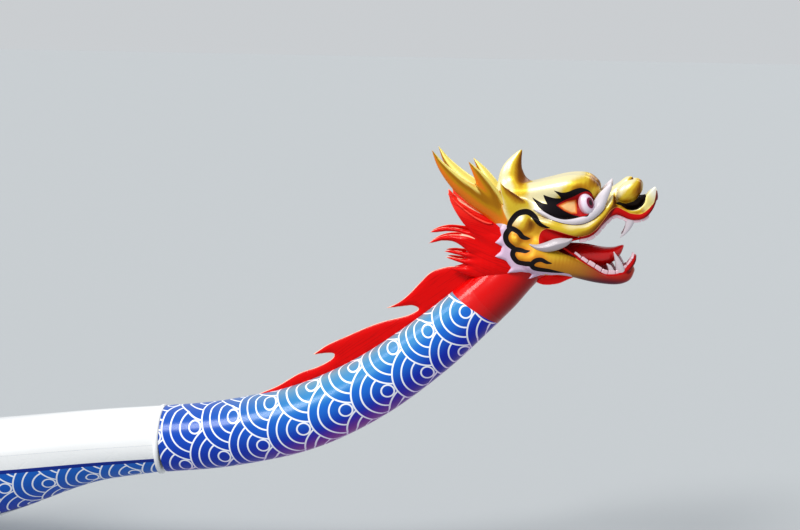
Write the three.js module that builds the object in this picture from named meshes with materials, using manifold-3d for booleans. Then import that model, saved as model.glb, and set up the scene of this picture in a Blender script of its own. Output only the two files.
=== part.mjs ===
// Racing dragon boat afloat: an open hull for twelve crew with a carved dragon head and tail.
// Millimetres, +X to the bow, +Y to port, +Z up. The origin is the waterplane's centre.
import * as THREE from 'three';
import Module from 'manifold-3d';
import { mergeVertices } from 'three/addons/utils/BufferGeometryUtils.js';

const wasm = await Module();
wasm.setup();

// Driving dimensions
const GAP = 0.3;                  // clearance between pieces that touch
const SEAM_X = 4750;              // where the head and the tail pieces are fitted on the hull
const SEAM_Z = 411;               // height of the neck's centre at that seam
const SHELL = 12;                 // thickness of the hull's skin
const DECK_X = 3400;              // the decks run from here to the seams
const BULKHEAD = 16;
const RAIL = { end: 4300, width: 24, depth: 34, proud: 6 };
const FLOOR = { end: 3395, top: 15, thickness: 18 };
const SEATS = { first: 1700, spacing: 750, count: 5, top: 225, length: 220, thickness: 26 };
const LEDGE = { end: 1900, aft: -1500, width: 60, height: 34 };
const SEAT_POST = { length: 60, width: 120 };
const DRUMMER = { back: 3150, front: 2850, width: 300, seat: 440, backTop: 620, backThickness: 42 };
const DRUM = { x: 2400, bottom: 200, height: 340, headRadius: 190, bellyRadius: 222, wall: 22, skin: 6 };
const BOARD = { x: 3925, side: 250, thickness: 8, foot: 70, footHeight: 26 };
const COUPLING = 14;              // thickness of the flange at each seam
const HEAD = { x: 1150, z: 689 }; // the skull's reference point, from the seam
const FIN_THICKNESS = 12;
const FLAME_THICKNESS = 16;
const ARM = { x: -3650, tipY: 590, innerY: -230, width: 60, height: 30 };
const PIVOT = { y: 560, ball: 30, rise: 52 };
const OAR = { aft: 2050, forward: 880, radius: 21, tilt: 8, bladeLength: 820, bladeWidth: 185 };

// Hull lines against the distance from midships: both ends are alike
const HULL_ROWS = [
  // distance, half beam, keel height, sheer height, deck crown, fullness of the section
  { at: 0, beam: 560, keel: -70, sheer: 300, crown: 40, fullness: 2.9 },
  { at: 1000, beam: 556, keel: -70, sheer: 300, crown: 40, fullness: 2.9 },
  { at: 1900, beam: 525, keel: -68, sheer: 303, crown: 40, fullness: 2.8 },
  { at: 2700, beam: 445, keel: -58, sheer: 312, crown: 40, fullness: 2.6 },
  { at: 3300, beam: 350, keel: -36, sheer: 325, crown: 40, fullness: 2.4 },
  { at: 3700, beam: 277, keel: 0, sheer: 338, crown: 52, fullness: 2.2 },
  { at: 4000, beam: 220, keel: 60, sheer: 352, crown: 66, fullness: 2.1 },
  { at: 4300, beam: 165, keel: 172, sheer: 372, crown: 84, fullness: 2 },
  { at: 4550, beam: 122, keel: 272, sheer: 394, crown: 95, fullness: 2 },
  { at: 4750, beam: 99, keel: 312, sheer: 411, crown: 99, fullness: 2 },
];

// Centre line and radius of the neck and collar, and of the tail, from their seams
const NECK_ROWS = [
  { x: 15, z: 1, r: 99 },
  { x: 165, z: 19, r: 99 },
  { x: 290, z: 44, r: 99 },
  { x: 402, z: 74, r: 99 },
  { x: 518, z: 121, r: 97 },
  { x: 655, z: 199, r: 93 },
  { x: 799, z: 317, r: 85 },
  { x: 929, z: 429, r: 74 },
];
const COLLAR_ROWS = [
  { x: 929, z: 429, r: 74 },
  { x: 1000, z: 490, r: 73 },
  { x: 1065, z: 550, r: 76 },
  { x: 1120, z: 610, r: 78 },
];
const TAIL_ROWS = [
  { x: 15, z: 1, r: 99 },
  { x: 200, z: 22, r: 97 },
  { x: 400, z: 76, r: 92 },
  { x: 600, z: 172, r: 84 },
  { x: 780, z: 316, r: 73 },
  { x: 915, z: 492, r: 60 },
  { x: 1000, z: 680, r: 46 },
  { x: 1040, z: 850, r: 32 },
];

const palette = {
  white: { color: 0xf2f2f0, roughness: 0.3, metalness: 0 },
  lightBlue: { color: 0x9cc9e6, roughness: 0.5, metalness: 0 },
  waveBlue: { color: 0x1f57c3, roughness: 0.25, metalness: 0 },
  gold: { color: 0xd9a72b, roughness: 0.35, metalness: 0.3 },
  red: { color: 0xc9141b, roughness: 0.3, metalness: 0 },
  lip: { color: 0xb01020, roughness: 0.35, metalness: 0 },
  ivory: { color: 0xf6ece4, roughness: 0.3, metalness: 0 },
  wood: { color: 0xb98a52, roughness: 0.6, metalness: 0 },
  skin: { color: 0xe9dfc8, roughness: 0.7, metalness: 0 },
  steel: { color: 0x9aa0a6, roughness: 0.35, metalness: 1 },
  rubber: { color: 0x202020, roughness: 0.8, metalness: 0 },
};

// Mesh and solid helpers

function closedGeometry(positions, triangles) {
  let volume = 0;
  const [a, b, c] = [new THREE.Vector3(), new THREE.Vector3(), new THREE.Vector3()];
  for (let i = 0; i < triangles.length; i += 3) {
    a.fromArray(positions, triangles[i] * 3);
    b.fromArray(positions, triangles[i + 1] * 3);
    c.fromArray(positions, triangles[i + 2] * 3);
    volume += a.dot(b.cross(c));
  }
  const index = volume < 0 ? [...triangles].reverse() : triangles;
  const geometry = new THREE.BufferGeometry();
  geometry.setAttribute('position', new THREE.Float32BufferAttribute(positions, 3));
  geometry.setIndex(index);
  return geometry;
}

// A closed body through rings of equal count, each end closed by a fan about its middle
function loft(rings) {
  const count = rings[0].length;
  const positions = rings.flat().flatMap((p) => [p.x, p.y, p.z]);
  const triangles = [];
  for (let row = 0; row + 1 < rings.length; row += 1) {
    for (let i = 0; i < count; i += 1) {
      const next = (i + 1) % count;
      const [a, b] = [row * count + i, row * count + next];
      triangles.push(a, b, b + count, a, b + count, a + count);
    }
  }
  for (const [row, turned] of [[0, true], [rings.length - 1, false]]) {
    const middle = new THREE.Vector3();
    rings[row].forEach((p) => middle.addScaledVector(p, 1 / count));
    const centre = positions.length / 3;
    positions.push(middle.x, middle.y, middle.z);
    for (let i = 0; i < count; i += 1) {
      const [a, b] = [row * count + i, row * count + ((i + 1) % count)];
      triangles.push(...(turned ? [centre, b, a] : [centre, a, b]));
    }
  }
  return closedGeometry(positions, triangles);
}

function solid(geometry) {
  const bare = geometry.clone();
  bare.deleteAttribute('normal');
  bare.deleteAttribute('uv');
  const merged = mergeVertices(bare, 1e-3);
  const vertProperties = new Float32Array(merged.attributes.position.array);
  const triVerts = new Uint32Array(merged.index.array);
  return new wasm.Manifold(new wasm.Mesh({ numProp: 3, vertProperties, triVerts }));
}

function geometryOf(body) {
  const { vertProperties, triVerts } = body.getMesh();
  const geometry = new THREE.BufferGeometry();
  geometry.setAttribute('position', new THREE.Float32BufferAttribute(vertProperties, 3));
  geometry.setIndex([...triVerts]);
  return geometry;
}

const join = (...bodies) => bodies.reduce((whole, body) => whole.add(body));
const carve = (body, ...tools) => tools.reduce((rest, tool) => rest.subtract(tool), body);

function addMesh(group, name, shape, look) {
  const geometry = shape.isBufferGeometry ? shape : geometryOf(shape);
  geometry.computeVertexNormals();
  const mesh = new THREE.Mesh(geometry, new THREE.MeshStandardMaterial(palette[look]));
  mesh.name = name;
  group.add(mesh);
  return mesh;
}

// A box given by its low and high corners
function box(low, high) {
  const size = low.map((value, i) => high[i] - value);
  const geometry = new THREE.BoxGeometry(...size);
  geometry.translate(...low.map((value, i) => value + size[i] / 2));
  return solid(geometry);
}

// A flat plate in the plane of X and Z, drawn by its outline
function plate(outline, middleY, thickness) {
  const shape = new THREE.Shape(outline.map(([x, z]) => new THREE.Vector2(x, z)));
  const geometry = new THREE.ExtrudeGeometry(shape, { depth: thickness, bevelEnabled: false });
  geometry.rotateX(Math.PI / 2);
  geometry.translate(0, middleY + thickness / 2, 0);
  return solid(geometry);
}

// How far a grown body's first and last rings move out
const endShift = (i, last, grow) => (i === 0 ? -grow : i === last ? grow : 0);

// A round tapering tube in the plane of X and Z through rows of x, z and r
function tube(rows, { grow = 0, sides = 16, steps = 2 } = {}) {
  const centres = new THREE.CatmullRomCurve3(rows.map((row) => new THREE.Vector3(row.x, row.z, row.r)));
  const pieces = (rows.length - 1) * steps;
  const points = Array.from({ length: pieces + 1 }, (_, i) => centres.getPoint(i / pieces));
  return loft(points.map((point, i) => {
    const before = points[Math.max(i - 1, 0)];
    const after = points[Math.min(i + 1, pieces)];
    const along = new THREE.Vector2(after.x - before.x, after.y - before.y).normalize();
    const radius = point.z + grow;
    const shift = endShift(i, pieces, grow);
    return ring(sides, (cos, sin) => new THREE.Vector3(
      point.x + along.x * shift - along.y * radius * cos, radius * sin,
      point.y + along.y * shift + along.x * radius * cos));
  }));
}

function ring(sides, place) {
  return Array.from({ length: sides }, (_, i) => {
    const angle = (i / sides) * 2 * Math.PI;
    return place(Math.cos(angle), Math.sin(angle));
  });
}

// A horn, spike or tusk through rows of x, y, z, r, with flat as its breadth across Y over its depth
function horn(rows, { grow = 0, sides = 12, flat = 1, side = 1 } = {}) {
  const points = rows.map(([x, y, z, r]) => ({ at: new THREE.Vector3(x + HEAD.x, y * side, z + HEAD.z), r }));
  return solid(loft(points.map(({ at, r }, i) => {
    const before = points[Math.max(i - 1, 0)].at;
    const after = points[Math.min(i + 1, points.length - 1)].at;
    const along = after.clone().sub(before).normalize();
    const across = new THREE.Vector3(0, 1, 0).addScaledVector(along, -along.y).normalize();
    const up = along.clone().cross(across);
    return ring(sides, (cos, sin) => at.clone()
      .addScaledVector(up, (r + grow) * cos)
      .addScaledVector(across, (r * flat + grow) * sin));
  })));
}

// Hull lines at any distance from midships, smooth through the rows
function hullAt(x) {
  const distance = Math.min(Math.abs(x), SEAM_X);
  const last = HULL_ROWS.length - 1;
  const found = HULL_ROWS.findIndex((row, i) => i < last && distance <= HULL_ROWS[i + 1].at);
  const [low, high] = [HULL_ROWS[found], HULL_ROWS[found + 1]];
  const span = high.at - low.at;
  const t = (distance - low.at) / span;
  const slope = (i, key) => {
    if (i === 0) return 0;
    const [before, after] = [HULL_ROWS[i - 1], HULL_ROWS[Math.min(i + 1, last)]];
    return (after[key] - before[key]) / (after.at - before.at);
  };
  const value = (key) => {
    const [h1, h2] = [t * t * (3 - 2 * t), t * t * (t - 1)];
    const h3 = t * (1 - t) * (1 - t);
    return low[key] + (high[key] - low[key]) * h1 + span * (h3 * slope(found, key) + h2 * slope(found + 1, key));
  };
  return Object.fromEntries(['beam', 'keel', 'sheer', 'crown', 'fullness'].map((key) => [key, value(key)]));
}

// One section of the hull, inset from its outer face, with its sides run up by lift
const SECTION_STEPS = 6;
function hullRing(x, inset = 0, lift = 0) {
  const { beam, keel, sheer, fullness } = hullAt(x);
  const [half, depth] = [beam - inset, sheer - keel - inset];
  const points = [];
  for (let i = -SECTION_STEPS; i <= SECTION_STEPS; i += 1) {
    const angle = (i / SECTION_STEPS) * (Math.PI / 2);
    const out = Math.sign(i) * half * Math.abs(Math.sin(angle)) ** (2 / fullness);
    const down = depth * Math.max(Math.cos(angle), 0) ** (2 / fullness);
    points.push(new THREE.Vector3(x, out, sheer - down));
  }
  if (lift > 0) {
    points.push(new THREE.Vector3(x, half, sheer + lift), new THREE.Vector3(x, -half, sheer + lift));
  }
  return points;
}

// Places of the sections: each row of the lines, the middle between two rows, and the decks' ends
const rowPlaces = HULL_ROWS.flatMap(({ at }, i) => (
  i === 0 ? [at] : [(HULL_ROWS[i - 1].at + at) / 2, at]));
const halfPlaces = [...rowPlaces, DECK_X].sort((a, b) => a - b);
const sectionPlaces = [...halfPlaces.slice(1).reverse().map((at) => -at), ...halfPlaces];
const placesBetween = (from, to) => [from, ...sectionPlaces.filter((x) => x > from + 1 && x < to - 1), to];

const hullLoft = (from, to, inset, lift) => (
  solid(loft(placesBetween(from, to).map((x) => hullRing(x, inset, lift)))));

// Hull, decks and what is fixed inside

const boat = new THREE.Group();
const INSIDE_LIFT = 60;
const inside = hullLoft(-SEAM_X + SHELL, SEAM_X - SHELL, SHELL, INSIDE_LIFT);
const room = hullLoft(-SEAM_X + SHELL + GAP, SEAM_X - SHELL - GAP, SHELL + GAP, 0);
const fitInside = (body) => body.intersect(room);

addMesh(boat, 'hull_shell', carve(hullLoft(-SEAM_X, SEAM_X, 0, 0), inside), 'white');

for (const [name, side] of [['port', 1], ['starboard', -1]]) {
  const rings = placesBetween(-RAIL.end, RAIL.end).map((x) => {
    const { beam, sheer } = hullAt(x);
    const [inner, outer] = [beam + GAP, beam + GAP + RAIL.width];
    const [low, high] = [sheer - RAIL.depth + RAIL.proud, sheer + RAIL.proud];
    return [[inner, low], [outer - 8, low], [outer, low + 8], [outer, high - 8], [outer - 8, high], [inner, high]]
      .map(([y, z]) => new THREE.Vector3(x, y * side, z));
  });
  addMesh(boat, `gunwale_${name}`, loft(rings), 'white');
}

// A deck is crowned over its breadth; rise lifts it, so that it can cut what stands on it
function deckLoft(rise = 0) {
  return solid(loft(placesBetween(DECK_X, SEAM_X).map((x) => {
    const { beam, sheer, crown } = hullAt(x);
    return Array.from({ length: 2 * SECTION_STEPS + 1 }, (_, i) => {
      const angle = (i / SECTION_STEPS - 1) * (Math.PI / 2);
      const height = sheer + GAP + rise + crown * Math.max(Math.cos(angle), 0);
      return new THREE.Vector3(x, beam * Math.sin(angle), height);
    });
  })));
}

for (const [name, turn] of [['bow', 0], ['stern', 180]]) {
  addMesh(boat, `${name}_deck`, deckLoft().rotate([0, 0, turn]), 'white');
  const wall = box([DECK_X, -600, -200], [DECK_X + BULKHEAD, 600, 600]).rotate([0, 0, turn]);
  addMesh(boat, `${name}_bulkhead`, fitInside(wall), 'lightBlue');
}
const deckTool = deckLoft(GAP);

const floorBlock = box([-FLOOR.end, -600, FLOOR.top - FLOOR.thickness], [FLOOR.end, 600, FLOOR.top]);
addMesh(boat, 'floor', fitInside(floorBlock), 'lightBlue');

const plankBottom = SEATS.top - SEATS.thickness;
const ledgeTop = plankBottom - GAP;
for (const [name, side] of [['port', 1], ['starboard', -1]]) {
  const rings = placesBetween(LEDGE.aft, LEDGE.end).map((x) => {
    const outer = hullAt(x).beam;
    const inner = outer - SHELL - LEDGE.width;
    return [[outer, ledgeTop - LEDGE.height], [outer, ledgeTop], [inner, ledgeTop], [inner, ledgeTop - LEDGE.height]]
      .map(([y, z]) => new THREE.Vector3(x, y * side, z));
  });
  addMesh(boat, `seat_ledge_${name}`, fitInside(solid(loft(rings))), 'lightBlue');
}

for (let i = 0; i < SEATS.count; i += 1) {
  const x = SEATS.first - i * SEATS.spacing;
  const plank = box([x - SEATS.length / 2, -600, plankBottom], [x + SEATS.length / 2, 600, SEATS.top]);
  const post = box(
    [x - SEAT_POST.length / 2, -SEAT_POST.width / 2, FLOOR.top + GAP],
    [x + SEAT_POST.length / 2, SEAT_POST.width / 2, plankBottom + 1]);
  addMesh(boat, `seat_${i + 1}`, join(fitInside(plank), post), 'wood');
}

const drummerProfile = [
  [DRUMMER.front + 30, FLOOR.top + GAP], [DRUMMER.back, FLOOR.top + GAP], [DRUMMER.back, DRUMMER.backTop - 20],
  [DRUMMER.back - 12, DRUMMER.backTop], [DRUMMER.back - DRUMMER.backThickness, DRUMMER.backTop],
  [DRUMMER.back - DRUMMER.backThickness - 18, DRUMMER.seat], [DRUMMER.front, DRUMMER.seat],
  [DRUMMER.front, DRUMMER.seat - 40],
];
addMesh(boat, 'drummer_seat', plate(drummerProfile, 0, DRUMMER.width), 'white');

// Drum on its stand, ahead of the first paddlers

const drum = new THREE.Group();
drum.position.set(DRUM.x, 0, 0);
boat.add(drum);

const DRUM_SIDES = 24;
const upright = (geometry) => geometry.rotateX(Math.PI / 2);
const lathe = (profile, segments) => (
  solid(upright(new THREE.LatheGeometry(profile.map(([r, z]) => new THREE.Vector2(r, z)), segments))));

const standRing = lathe([
  [150, DRUM.bottom - 44], [205, DRUM.bottom - 44], [205, DRUM.bottom - GAP], [150, DRUM.bottom - GAP],
  [150, DRUM.bottom - 44]], DRUM_SIDES);
const standLegs = [45, 135, 225, 315].map((turn) => (
  box([150, -22, FLOOR.top + GAP], [198, 22, DRUM.bottom - 20]).rotate([0, 0, turn])));
addMesh(drum, 'drum_stand', join(standRing, ...standLegs), 'wood');

const BARREL_STEPS = 4;
const barrelSide = (inset) => Array.from({ length: BARREL_STEPS + 1 }, (_, i) => {
  const t = i / BARREL_STEPS;
  const bulge = (DRUM.bellyRadius - DRUM.headRadius) * Math.sin(Math.PI * t);
  return [DRUM.headRadius + bulge - inset, DRUM.bottom + GAP + DRUM.skin + t * (DRUM.height - 2 * DRUM.skin)];
});
const barrelOuter = barrelSide(0);
addMesh(drum, 'drum_barrel', lathe(
  [...barrelOuter, ...barrelSide(DRUM.wall).reverse(), barrelOuter[0]], DRUM_SIDES), 'red');
const skinDisc = (low) => lathe([[0, low], [DRUM.headRadius, low], [DRUM.headRadius, low + DRUM.skin], [0, low + DRUM.skin]], DRUM_SIDES);
addMesh(drum, 'drum_skin_lower', skinDisc(DRUM.bottom), 'skin');
addMesh(drum, 'drum_skin_upper', skinDisc(DRUM.bottom + DRUM.height - DRUM.skin + 2 * GAP), 'skin');

// Bare board that stands on the bow deck, faces to the sides

const boardDeck = hullAt(BOARD.x);
const boardFoot = boardDeck.sheer + boardDeck.crown + 12;
const board = join(
  box([BOARD.x - BOARD.side / 2, -BOARD.thickness / 2, boardFoot + BOARD.footHeight],
    [BOARD.x + BOARD.side / 2, BOARD.thickness / 2, boardFoot + BOARD.footHeight + BOARD.side]),
  box([BOARD.x - BOARD.foot / 2, -30, boardDeck.sheer + 10], [BOARD.x + BOARD.foot / 2, 30, boardFoot + BOARD.footHeight + 1]),
);
addMesh(boat, 'number_board', carve(board, deckTool), 'red');

// Dragon head on its neck, measured from the bow seam

const headPiece = new THREE.Group();
headPiece.position.set(SEAM_X, 0, SEAM_Z);
boat.add(headPiece);

// Skull sections: place along the head, top, bottom and half breadth
const SKULL_ROWS = [
  [-165, 55, -70, 60], [-130, 88, -120, 92], [-80, 112, -146, 108], [-20, 122, -150, 113],
  [25, 126, -120, 112], [60, 126, -58, 106], [100, 120, -42, 97], [135, 92, -18, 84], [160, 72, 8, 68],
  [185, 74, 26, 58], [215, 80, 24, 54], [245, 84, 18, 48], [270, 84, 26, 38], [290, 104, 62, 22], [298, 108, 92, 8],
];
const JAW_ROWS = [
  [0, -70, -150, 96], [45, -80, -154, 92], [90, -108, -159, 84], [130, -130, -165, 72],
  [170, -147, -172, 58], [205, -148, -169, 46], [230, -125, -152, 32], [243, -100, -118, 16],
];
const BROW_ROWS = [[-64, 75, 92, 20], [-10, 74, 106, 26], [45, 68, 121, 26], [95, 62, 122, 24], [128, 54, 102, 16]];
const NOSE = { x: 222, y: 29, z: 97, radii: [38, 28, 36] };

function sectionLoft(rows, grow, sides = 16) {
  const last = rows.length - 1;
  return solid(loft(rows.map(([x, top, bottom, half], i) => {
    const shift = endShift(i, last, grow);
    const [middle, rise] = [(top + bottom) / 2, (top - bottom) / 2];
    return ring(sides, (cos, sin) => new THREE.Vector3(
      HEAD.x + x + shift, (half + grow) * sin, HEAD.z + middle + (rise + grow) * cos));
  })));
}

function ellipsoid(x, y, z, radii, grow) {
  const geometry = new THREE.SphereGeometry(1, 12, 8);
  geometry.scale(...radii.map((radius) => radius + grow));
  geometry.translate(HEAD.x + x, y, HEAD.z + z);
  return solid(geometry);
}

const sides = [['port', 1], ['starboard', -1]];
const skullSolid = (grow = 0) => join(sectionLoft(SKULL_ROWS, grow), ...sides.flatMap(([, side]) => [
  horn(BROW_ROWS, { grow, side }), ellipsoid(NOSE.x, NOSE.y * side, NOSE.z, NOSE.radii, grow)]));
const jawSolid = (grow = 0) => sectionLoft(JAW_ROWS, grow);
const skullTool = skullSolid(2 * GAP);
const jawTool = jawSolid(2 * GAP);

const ANTLER_BEAM = [
  [-120, 50, 5, 30], [-165, 56, 36, 32], [-203, 62, 60, 30], [-235, 68, 84, 27], [-264, 74, 106, 24],
  [-293, 80, 134, 18], [-318, 84, 164, 11], [-341, 88, 201, 2]];
const ANTLER_PRONG = [
  [-150, 56, 40, 26], [-174, 62, 80, 25], [-193, 68, 110, 21], [-212, 74, 138, 14], [-236, 79, 170, 2]];
const EAR_ROWS = [[-78, 82, 20, 34], [-102, 90, 50, 32], [-122, 98, 74, 19], [-135, 104, 95, 10], [-142, 107, 116, 2]];
const CREST_ROWS = [[-112, 0, 88, 46], [-117, 0, 122, 38], [-116, 0, 146, 28], [-107, 0, 170, 18], [-90, 0, 205, 2]];
const UPPER_FANG = [[214, 42, 56, 17], [221, 50, 16, 14], [216, 53, -10, 9], [200, 54, -36, 2]];
const LOWER_FANG = [[202, 36, -160, 15], [200, 42, -132, 13], [192, 45, -104, 8], [181, 46, -79, 2]];
const TUSK_ROWS = [[66, 98, -40, 10], [40, 108, -50, 14], [5, 114, -61, 15], [-28, 116, -66, 11], [-57, 113, -59, 2]];
const TONGUE_ROWS = [[10, 0, -92, 24], [70, 0, -84, 20], [125, 0, -86, 17], [168, 0, -86, 13], [206, 0, -68, 5]];
const EYE = { x: 103, y: 88, z: 60, radii: [27, 22, 27] };

const antler = (side, grow = 0) => join(
  horn(ANTLER_BEAM, { side, grow }), horn(ANTLER_PRONG, { side, grow }));
const ear = (side, grow = 0) => horn(EAR_ROWS, { side, grow, flat: 0.55 });

const neck = solid(tube(NECK_ROWS));
const neckTool = solid(tube(NECK_ROWS, { grow: 2 * GAP }));
const collarTool = solid(tube(COLLAR_ROWS, { grow: 2 * GAP }));

const flange = (depth) => new THREE.CylinderGeometry(104, 104, depth, 32).rotateZ(Math.PI / 2)
  .translate(GAP + depth / 2, 0, 0);
addMesh(headPiece, 'neck_coupling', solid(flange(COUPLING)), 'white');
addMesh(headPiece, 'neck', carve(neck, solid(flange(COUPLING + GAP))), 'waveBlue');
addMesh(headPiece, 'collar', carve(solid(tube(COLLAR_ROWS)), neckTool, skullTool, jawTool), 'red');
addMesh(headPiece, 'skull', skullSolid(), 'gold');
addMesh(headPiece, 'lower_jaw', carve(jawSolid(), skullTool), 'gold');
addMesh(headPiece, 'tongue', carve(horn(TONGUE_ROWS, { flat: 2.1 }), skullTool, jawTool), 'lip');
addMesh(headPiece, 'crest_horn', carve(horn(CREST_ROWS, { flat: 0.7 }), skullTool), 'gold');

const MANE_OUTLINE = [
  [-110, 25], [-150, 0], [-199, 26], [-240, 47], [-295, 90], [-290, 58], [-265, 16], [-242, -22], [-298, -22],
  [-352, -43], [-292, -46], [-354, -74], [-276, -67], [-248, -84], [-309, -95], [-262, -104], [-304, -112],
  [-252, -128], [-200, -140], [-150, -150], [-100, -110],
].map(([x, z]) => [x + HEAD.x, z + HEAD.z]);
const MANE_Y = 64;

for (const [name, side] of sides) {
  const antlerTool = antler(side, 2 * GAP);
  const earTool = ear(side, 2 * GAP);
  addMesh(headPiece, `antler_${name}`, carve(antler(side), skullTool), 'gold');
  addMesh(headPiece, `ear_${name}`, carve(ear(side), skullTool, antlerTool), 'gold');
  const mane = plate(MANE_OUTLINE, MANE_Y * side, FLAME_THICKNESS);
  addMesh(headPiece, `cheek_mane_${name}`, carve(mane, skullTool, collarTool, antlerTool, earTool), 'red');
  addMesh(headPiece, `eye_${name}`, carve(ellipsoid(EYE.x, EYE.y * side, EYE.z, EYE.radii, 0), skullTool), 'ivory');
  addMesh(headPiece, `upper_fang_${name}`, carve(horn(UPPER_FANG, { side }), skullTool), 'ivory');
  addMesh(headPiece, `lower_fang_${name}`, carve(horn(LOWER_FANG, { side }), jawTool), 'ivory');
  addMesh(headPiece, `tusk_${name}`, carve(horn(TUSK_ROWS, { side }), skullTool, jawTool), 'ivory');
}

// The mane's fin stands on the neck, with its flames toward the stern
const FIN_OUTLINE = [
  [930, 560], [888, 549], [803, 529], [768, 492], [733, 455], [680, 425], [766, 421], [720, 394], [663, 378],
  [613, 358], [563, 334], [505, 306], [455, 270], [520, 274], [470, 236], [415, 214], [355, 176], [300, 150],
  [230, 100], [402, 74], [655, 199], [930, 430]];
addMesh(headPiece, 'mane_fin', carve(plate(FIN_OUTLINE, 0, FIN_THICKNESS), neckTool, collarTool, skullTool), 'red');

const CHIN_OUTLINE = [[-60, -130], [-52, -170], [-18, -186], [23, -182], [76, -157], [43, -130]]
  .map(([x, z]) => [x + HEAD.x, z + HEAD.z]);
addMesh(headPiece, 'chin_flame', carve(plate(CHIN_OUTLINE, 0, FLAME_THICKNESS), skullTool, jawTool, collarTool), 'red');

// Tail, measured from the stern seam and turned to run aft

const tailPiece = new THREE.Group();
tailPiece.position.set(-SEAM_X, 0, SEAM_Z);
tailPiece.rotation.z = Math.PI;
boat.add(tailPiece);

const tailTool = solid(tube(TAIL_ROWS, { grow: 2 * GAP }));
const TAIL_FIN_OUTLINE = [
  [230, 90], [300, 150], [330, 215], [400, 190], [440, 268], [500, 240], [545, 335], [605, 312], [640, 420],
  [705, 402], [722, 512], [790, 500], [790, 612], [850, 600], [842, 715], [900, 700], [905, 800], [960, 780],
  [1000, 680], [915, 492], [780, 316], [600, 172], [400, 76]];
const TUFT_OUTLINE = [
  [1020, 770], [960, 830], [975, 900], [935, 960], [930, 1060], [985, 1000], [1000, 1080], [975, 1150], [1000, 1240],
  [1060, 1130], [1085, 1190], [1130, 1290], [1150, 1150], [1195, 1190], [1275, 1270], [1255, 1120], [1310, 1110],
  [1400, 1140], [1330, 1020], [1360, 980], [1430, 960], [1320, 910], [1230, 880], [1170, 820], [1120, 800], [1060, 770]];
addMesh(tailPiece, 'tail_coupling', solid(flange(COUPLING)), 'white');
addMesh(tailPiece, 'tail_stalk', carve(solid(tube(TAIL_ROWS)), solid(flange(COUPLING + GAP))), 'waveBlue');
addMesh(tailPiece, 'tail_fin', carve(plate(TAIL_FIN_OUTLINE, 0, FIN_THICKNESS), tailTool), 'red');
addMesh(tailPiece, 'tail_tuft', carve(plate(TUFT_OUTLINE, 0, FLAME_THICKNESS), tailTool), 'red');

// Steering oar in its swivelling rowlock, on an arm over the stern deck's port side

const armDeck = hullAt(ARM.x);
const armBottom = armDeck.sheer + armDeck.crown - 2;
const armTop = armBottom + ARM.height;
const PIN_RADIUS = 9;
const bore = (radius, low, high) => solid(
  upright(new THREE.CylinderGeometry(radius, radius, high - low, 24)).translate(ARM.x, PIVOT.y, (low + high) / 2));
const arm = carve(
  box([ARM.x - ARM.width / 2, ARM.innerY, armBottom], [ARM.x + ARM.width / 2, ARM.tipY, armTop]),
  bore(PIN_RADIUS + GAP, armBottom - 1, armTop + 1), deckTool.rotate([0, 0, 180]));
addMesh(boat, 'rowlock_arm', arm, 'steel');

const pivotZ = armTop + PIVOT.rise;
const CHEEK = { thickness: 12, length: 26, top: 66 };
const opening = PIVOT.ball + GAP;
const cheekOut = opening + CHEEK.thickness;
const forkBase = pivotZ - opening - CHEEK.thickness;
const fork = plate([[-cheekOut, forkBase], [cheekOut, forkBase], [cheekOut, pivotZ + CHEEK.top],
  [opening, pivotZ + CHEEK.top], [opening, pivotZ - opening], [-opening, pivotZ - opening],
  [-opening, pivotZ + CHEEK.top], [-cheekOut, pivotZ + CHEEK.top]], 0, CHEEK.length)
  .rotate([0, 0, 90]).translate([ARM.x, PIVOT.y, 0]);
addMesh(boat, 'rowlock', join(
  fork, bore(PIN_RADIUS, armBottom - 12, forkBase + 1), bore(20, armTop + GAP, forkBase + 1)), 'steel');

const oar = new THREE.Group();
oar.position.set(ARM.x, PIVOT.y, pivotZ);
oar.rotation.y = THREE.MathUtils.degToRad(-OAR.tilt);
boat.add(oar);

const rod = (radius, from, to, segments = 20) => new THREE.CylinderGeometry(radius, radius, to - from, segments)
  .rotateZ(Math.PI / 2).translate((from + to) / 2, 0, 0);
const SLEEVE_HALF = 20;
const SLEEVE_STEPS = 4;
const sleeveProfile = Array.from({ length: SLEEVE_STEPS + 1 }, (_, i) => {
  const x = -SLEEVE_HALF + (2 * SLEEVE_HALF * i) / SLEEVE_STEPS;
  return new THREE.Vector2(Math.sqrt(PIVOT.ball ** 2 - x ** 2), x);
});
const sleeve = new THREE.LatheGeometry([
  new THREE.Vector2(OAR.radius + GAP, -SLEEVE_HALF), ...sleeveProfile,
  new THREE.Vector2(OAR.radius + GAP, SLEEVE_HALF), new THREE.Vector2(OAR.radius + GAP, -SLEEVE_HALF)], 20);
sleeve.rotateZ(Math.PI / 2);
const GRIP = { length: 40, radius: 18, bar: 130 };
const bladeStart = -OAR.aft + OAR.bladeLength;
const shaftEnd = OAR.forward - GRIP.length;
const blade = solid(loft([
  // place along the oar, half width, half thickness
  [bladeStart + 60, 28, 22], [bladeStart - 30, 52, 20], [bladeStart - 140, OAR.bladeWidth / 2 - 8, 14],
  [bladeStart - 400, OAR.bladeWidth / 2, 10], [-OAR.aft + 12, OAR.bladeWidth / 2, 7], [-OAR.aft, OAR.bladeWidth / 2 - 12, 5],
].map(([x, half, thick]) => ring(12, (cos, sin) => new THREE.Vector3(x, thick * sin, half * cos)))));
addMesh(oar, 'oar_shaft', solid(rod(OAR.radius, bladeStart - 30, shaftEnd - GAP)), 'wood');
addMesh(oar, 'oar_blade', carve(blade, solid(rod(OAR.radius + GAP, bladeStart - 30 - GAP, bladeStart + 90))), 'wood');
addMesh(oar, 'oar_sleeve', solid(sleeve), 'rubber');
addMesh(oar, 'oar_handle', join(
  solid(rod(GRIP.radius, shaftEnd, OAR.forward)),
  solid(new THREE.CylinderGeometry(GRIP.radius, GRIP.radius, GRIP.bar, 16).translate(OAR.forward, 0, 0))), 'wood');

export default boat;
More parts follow.
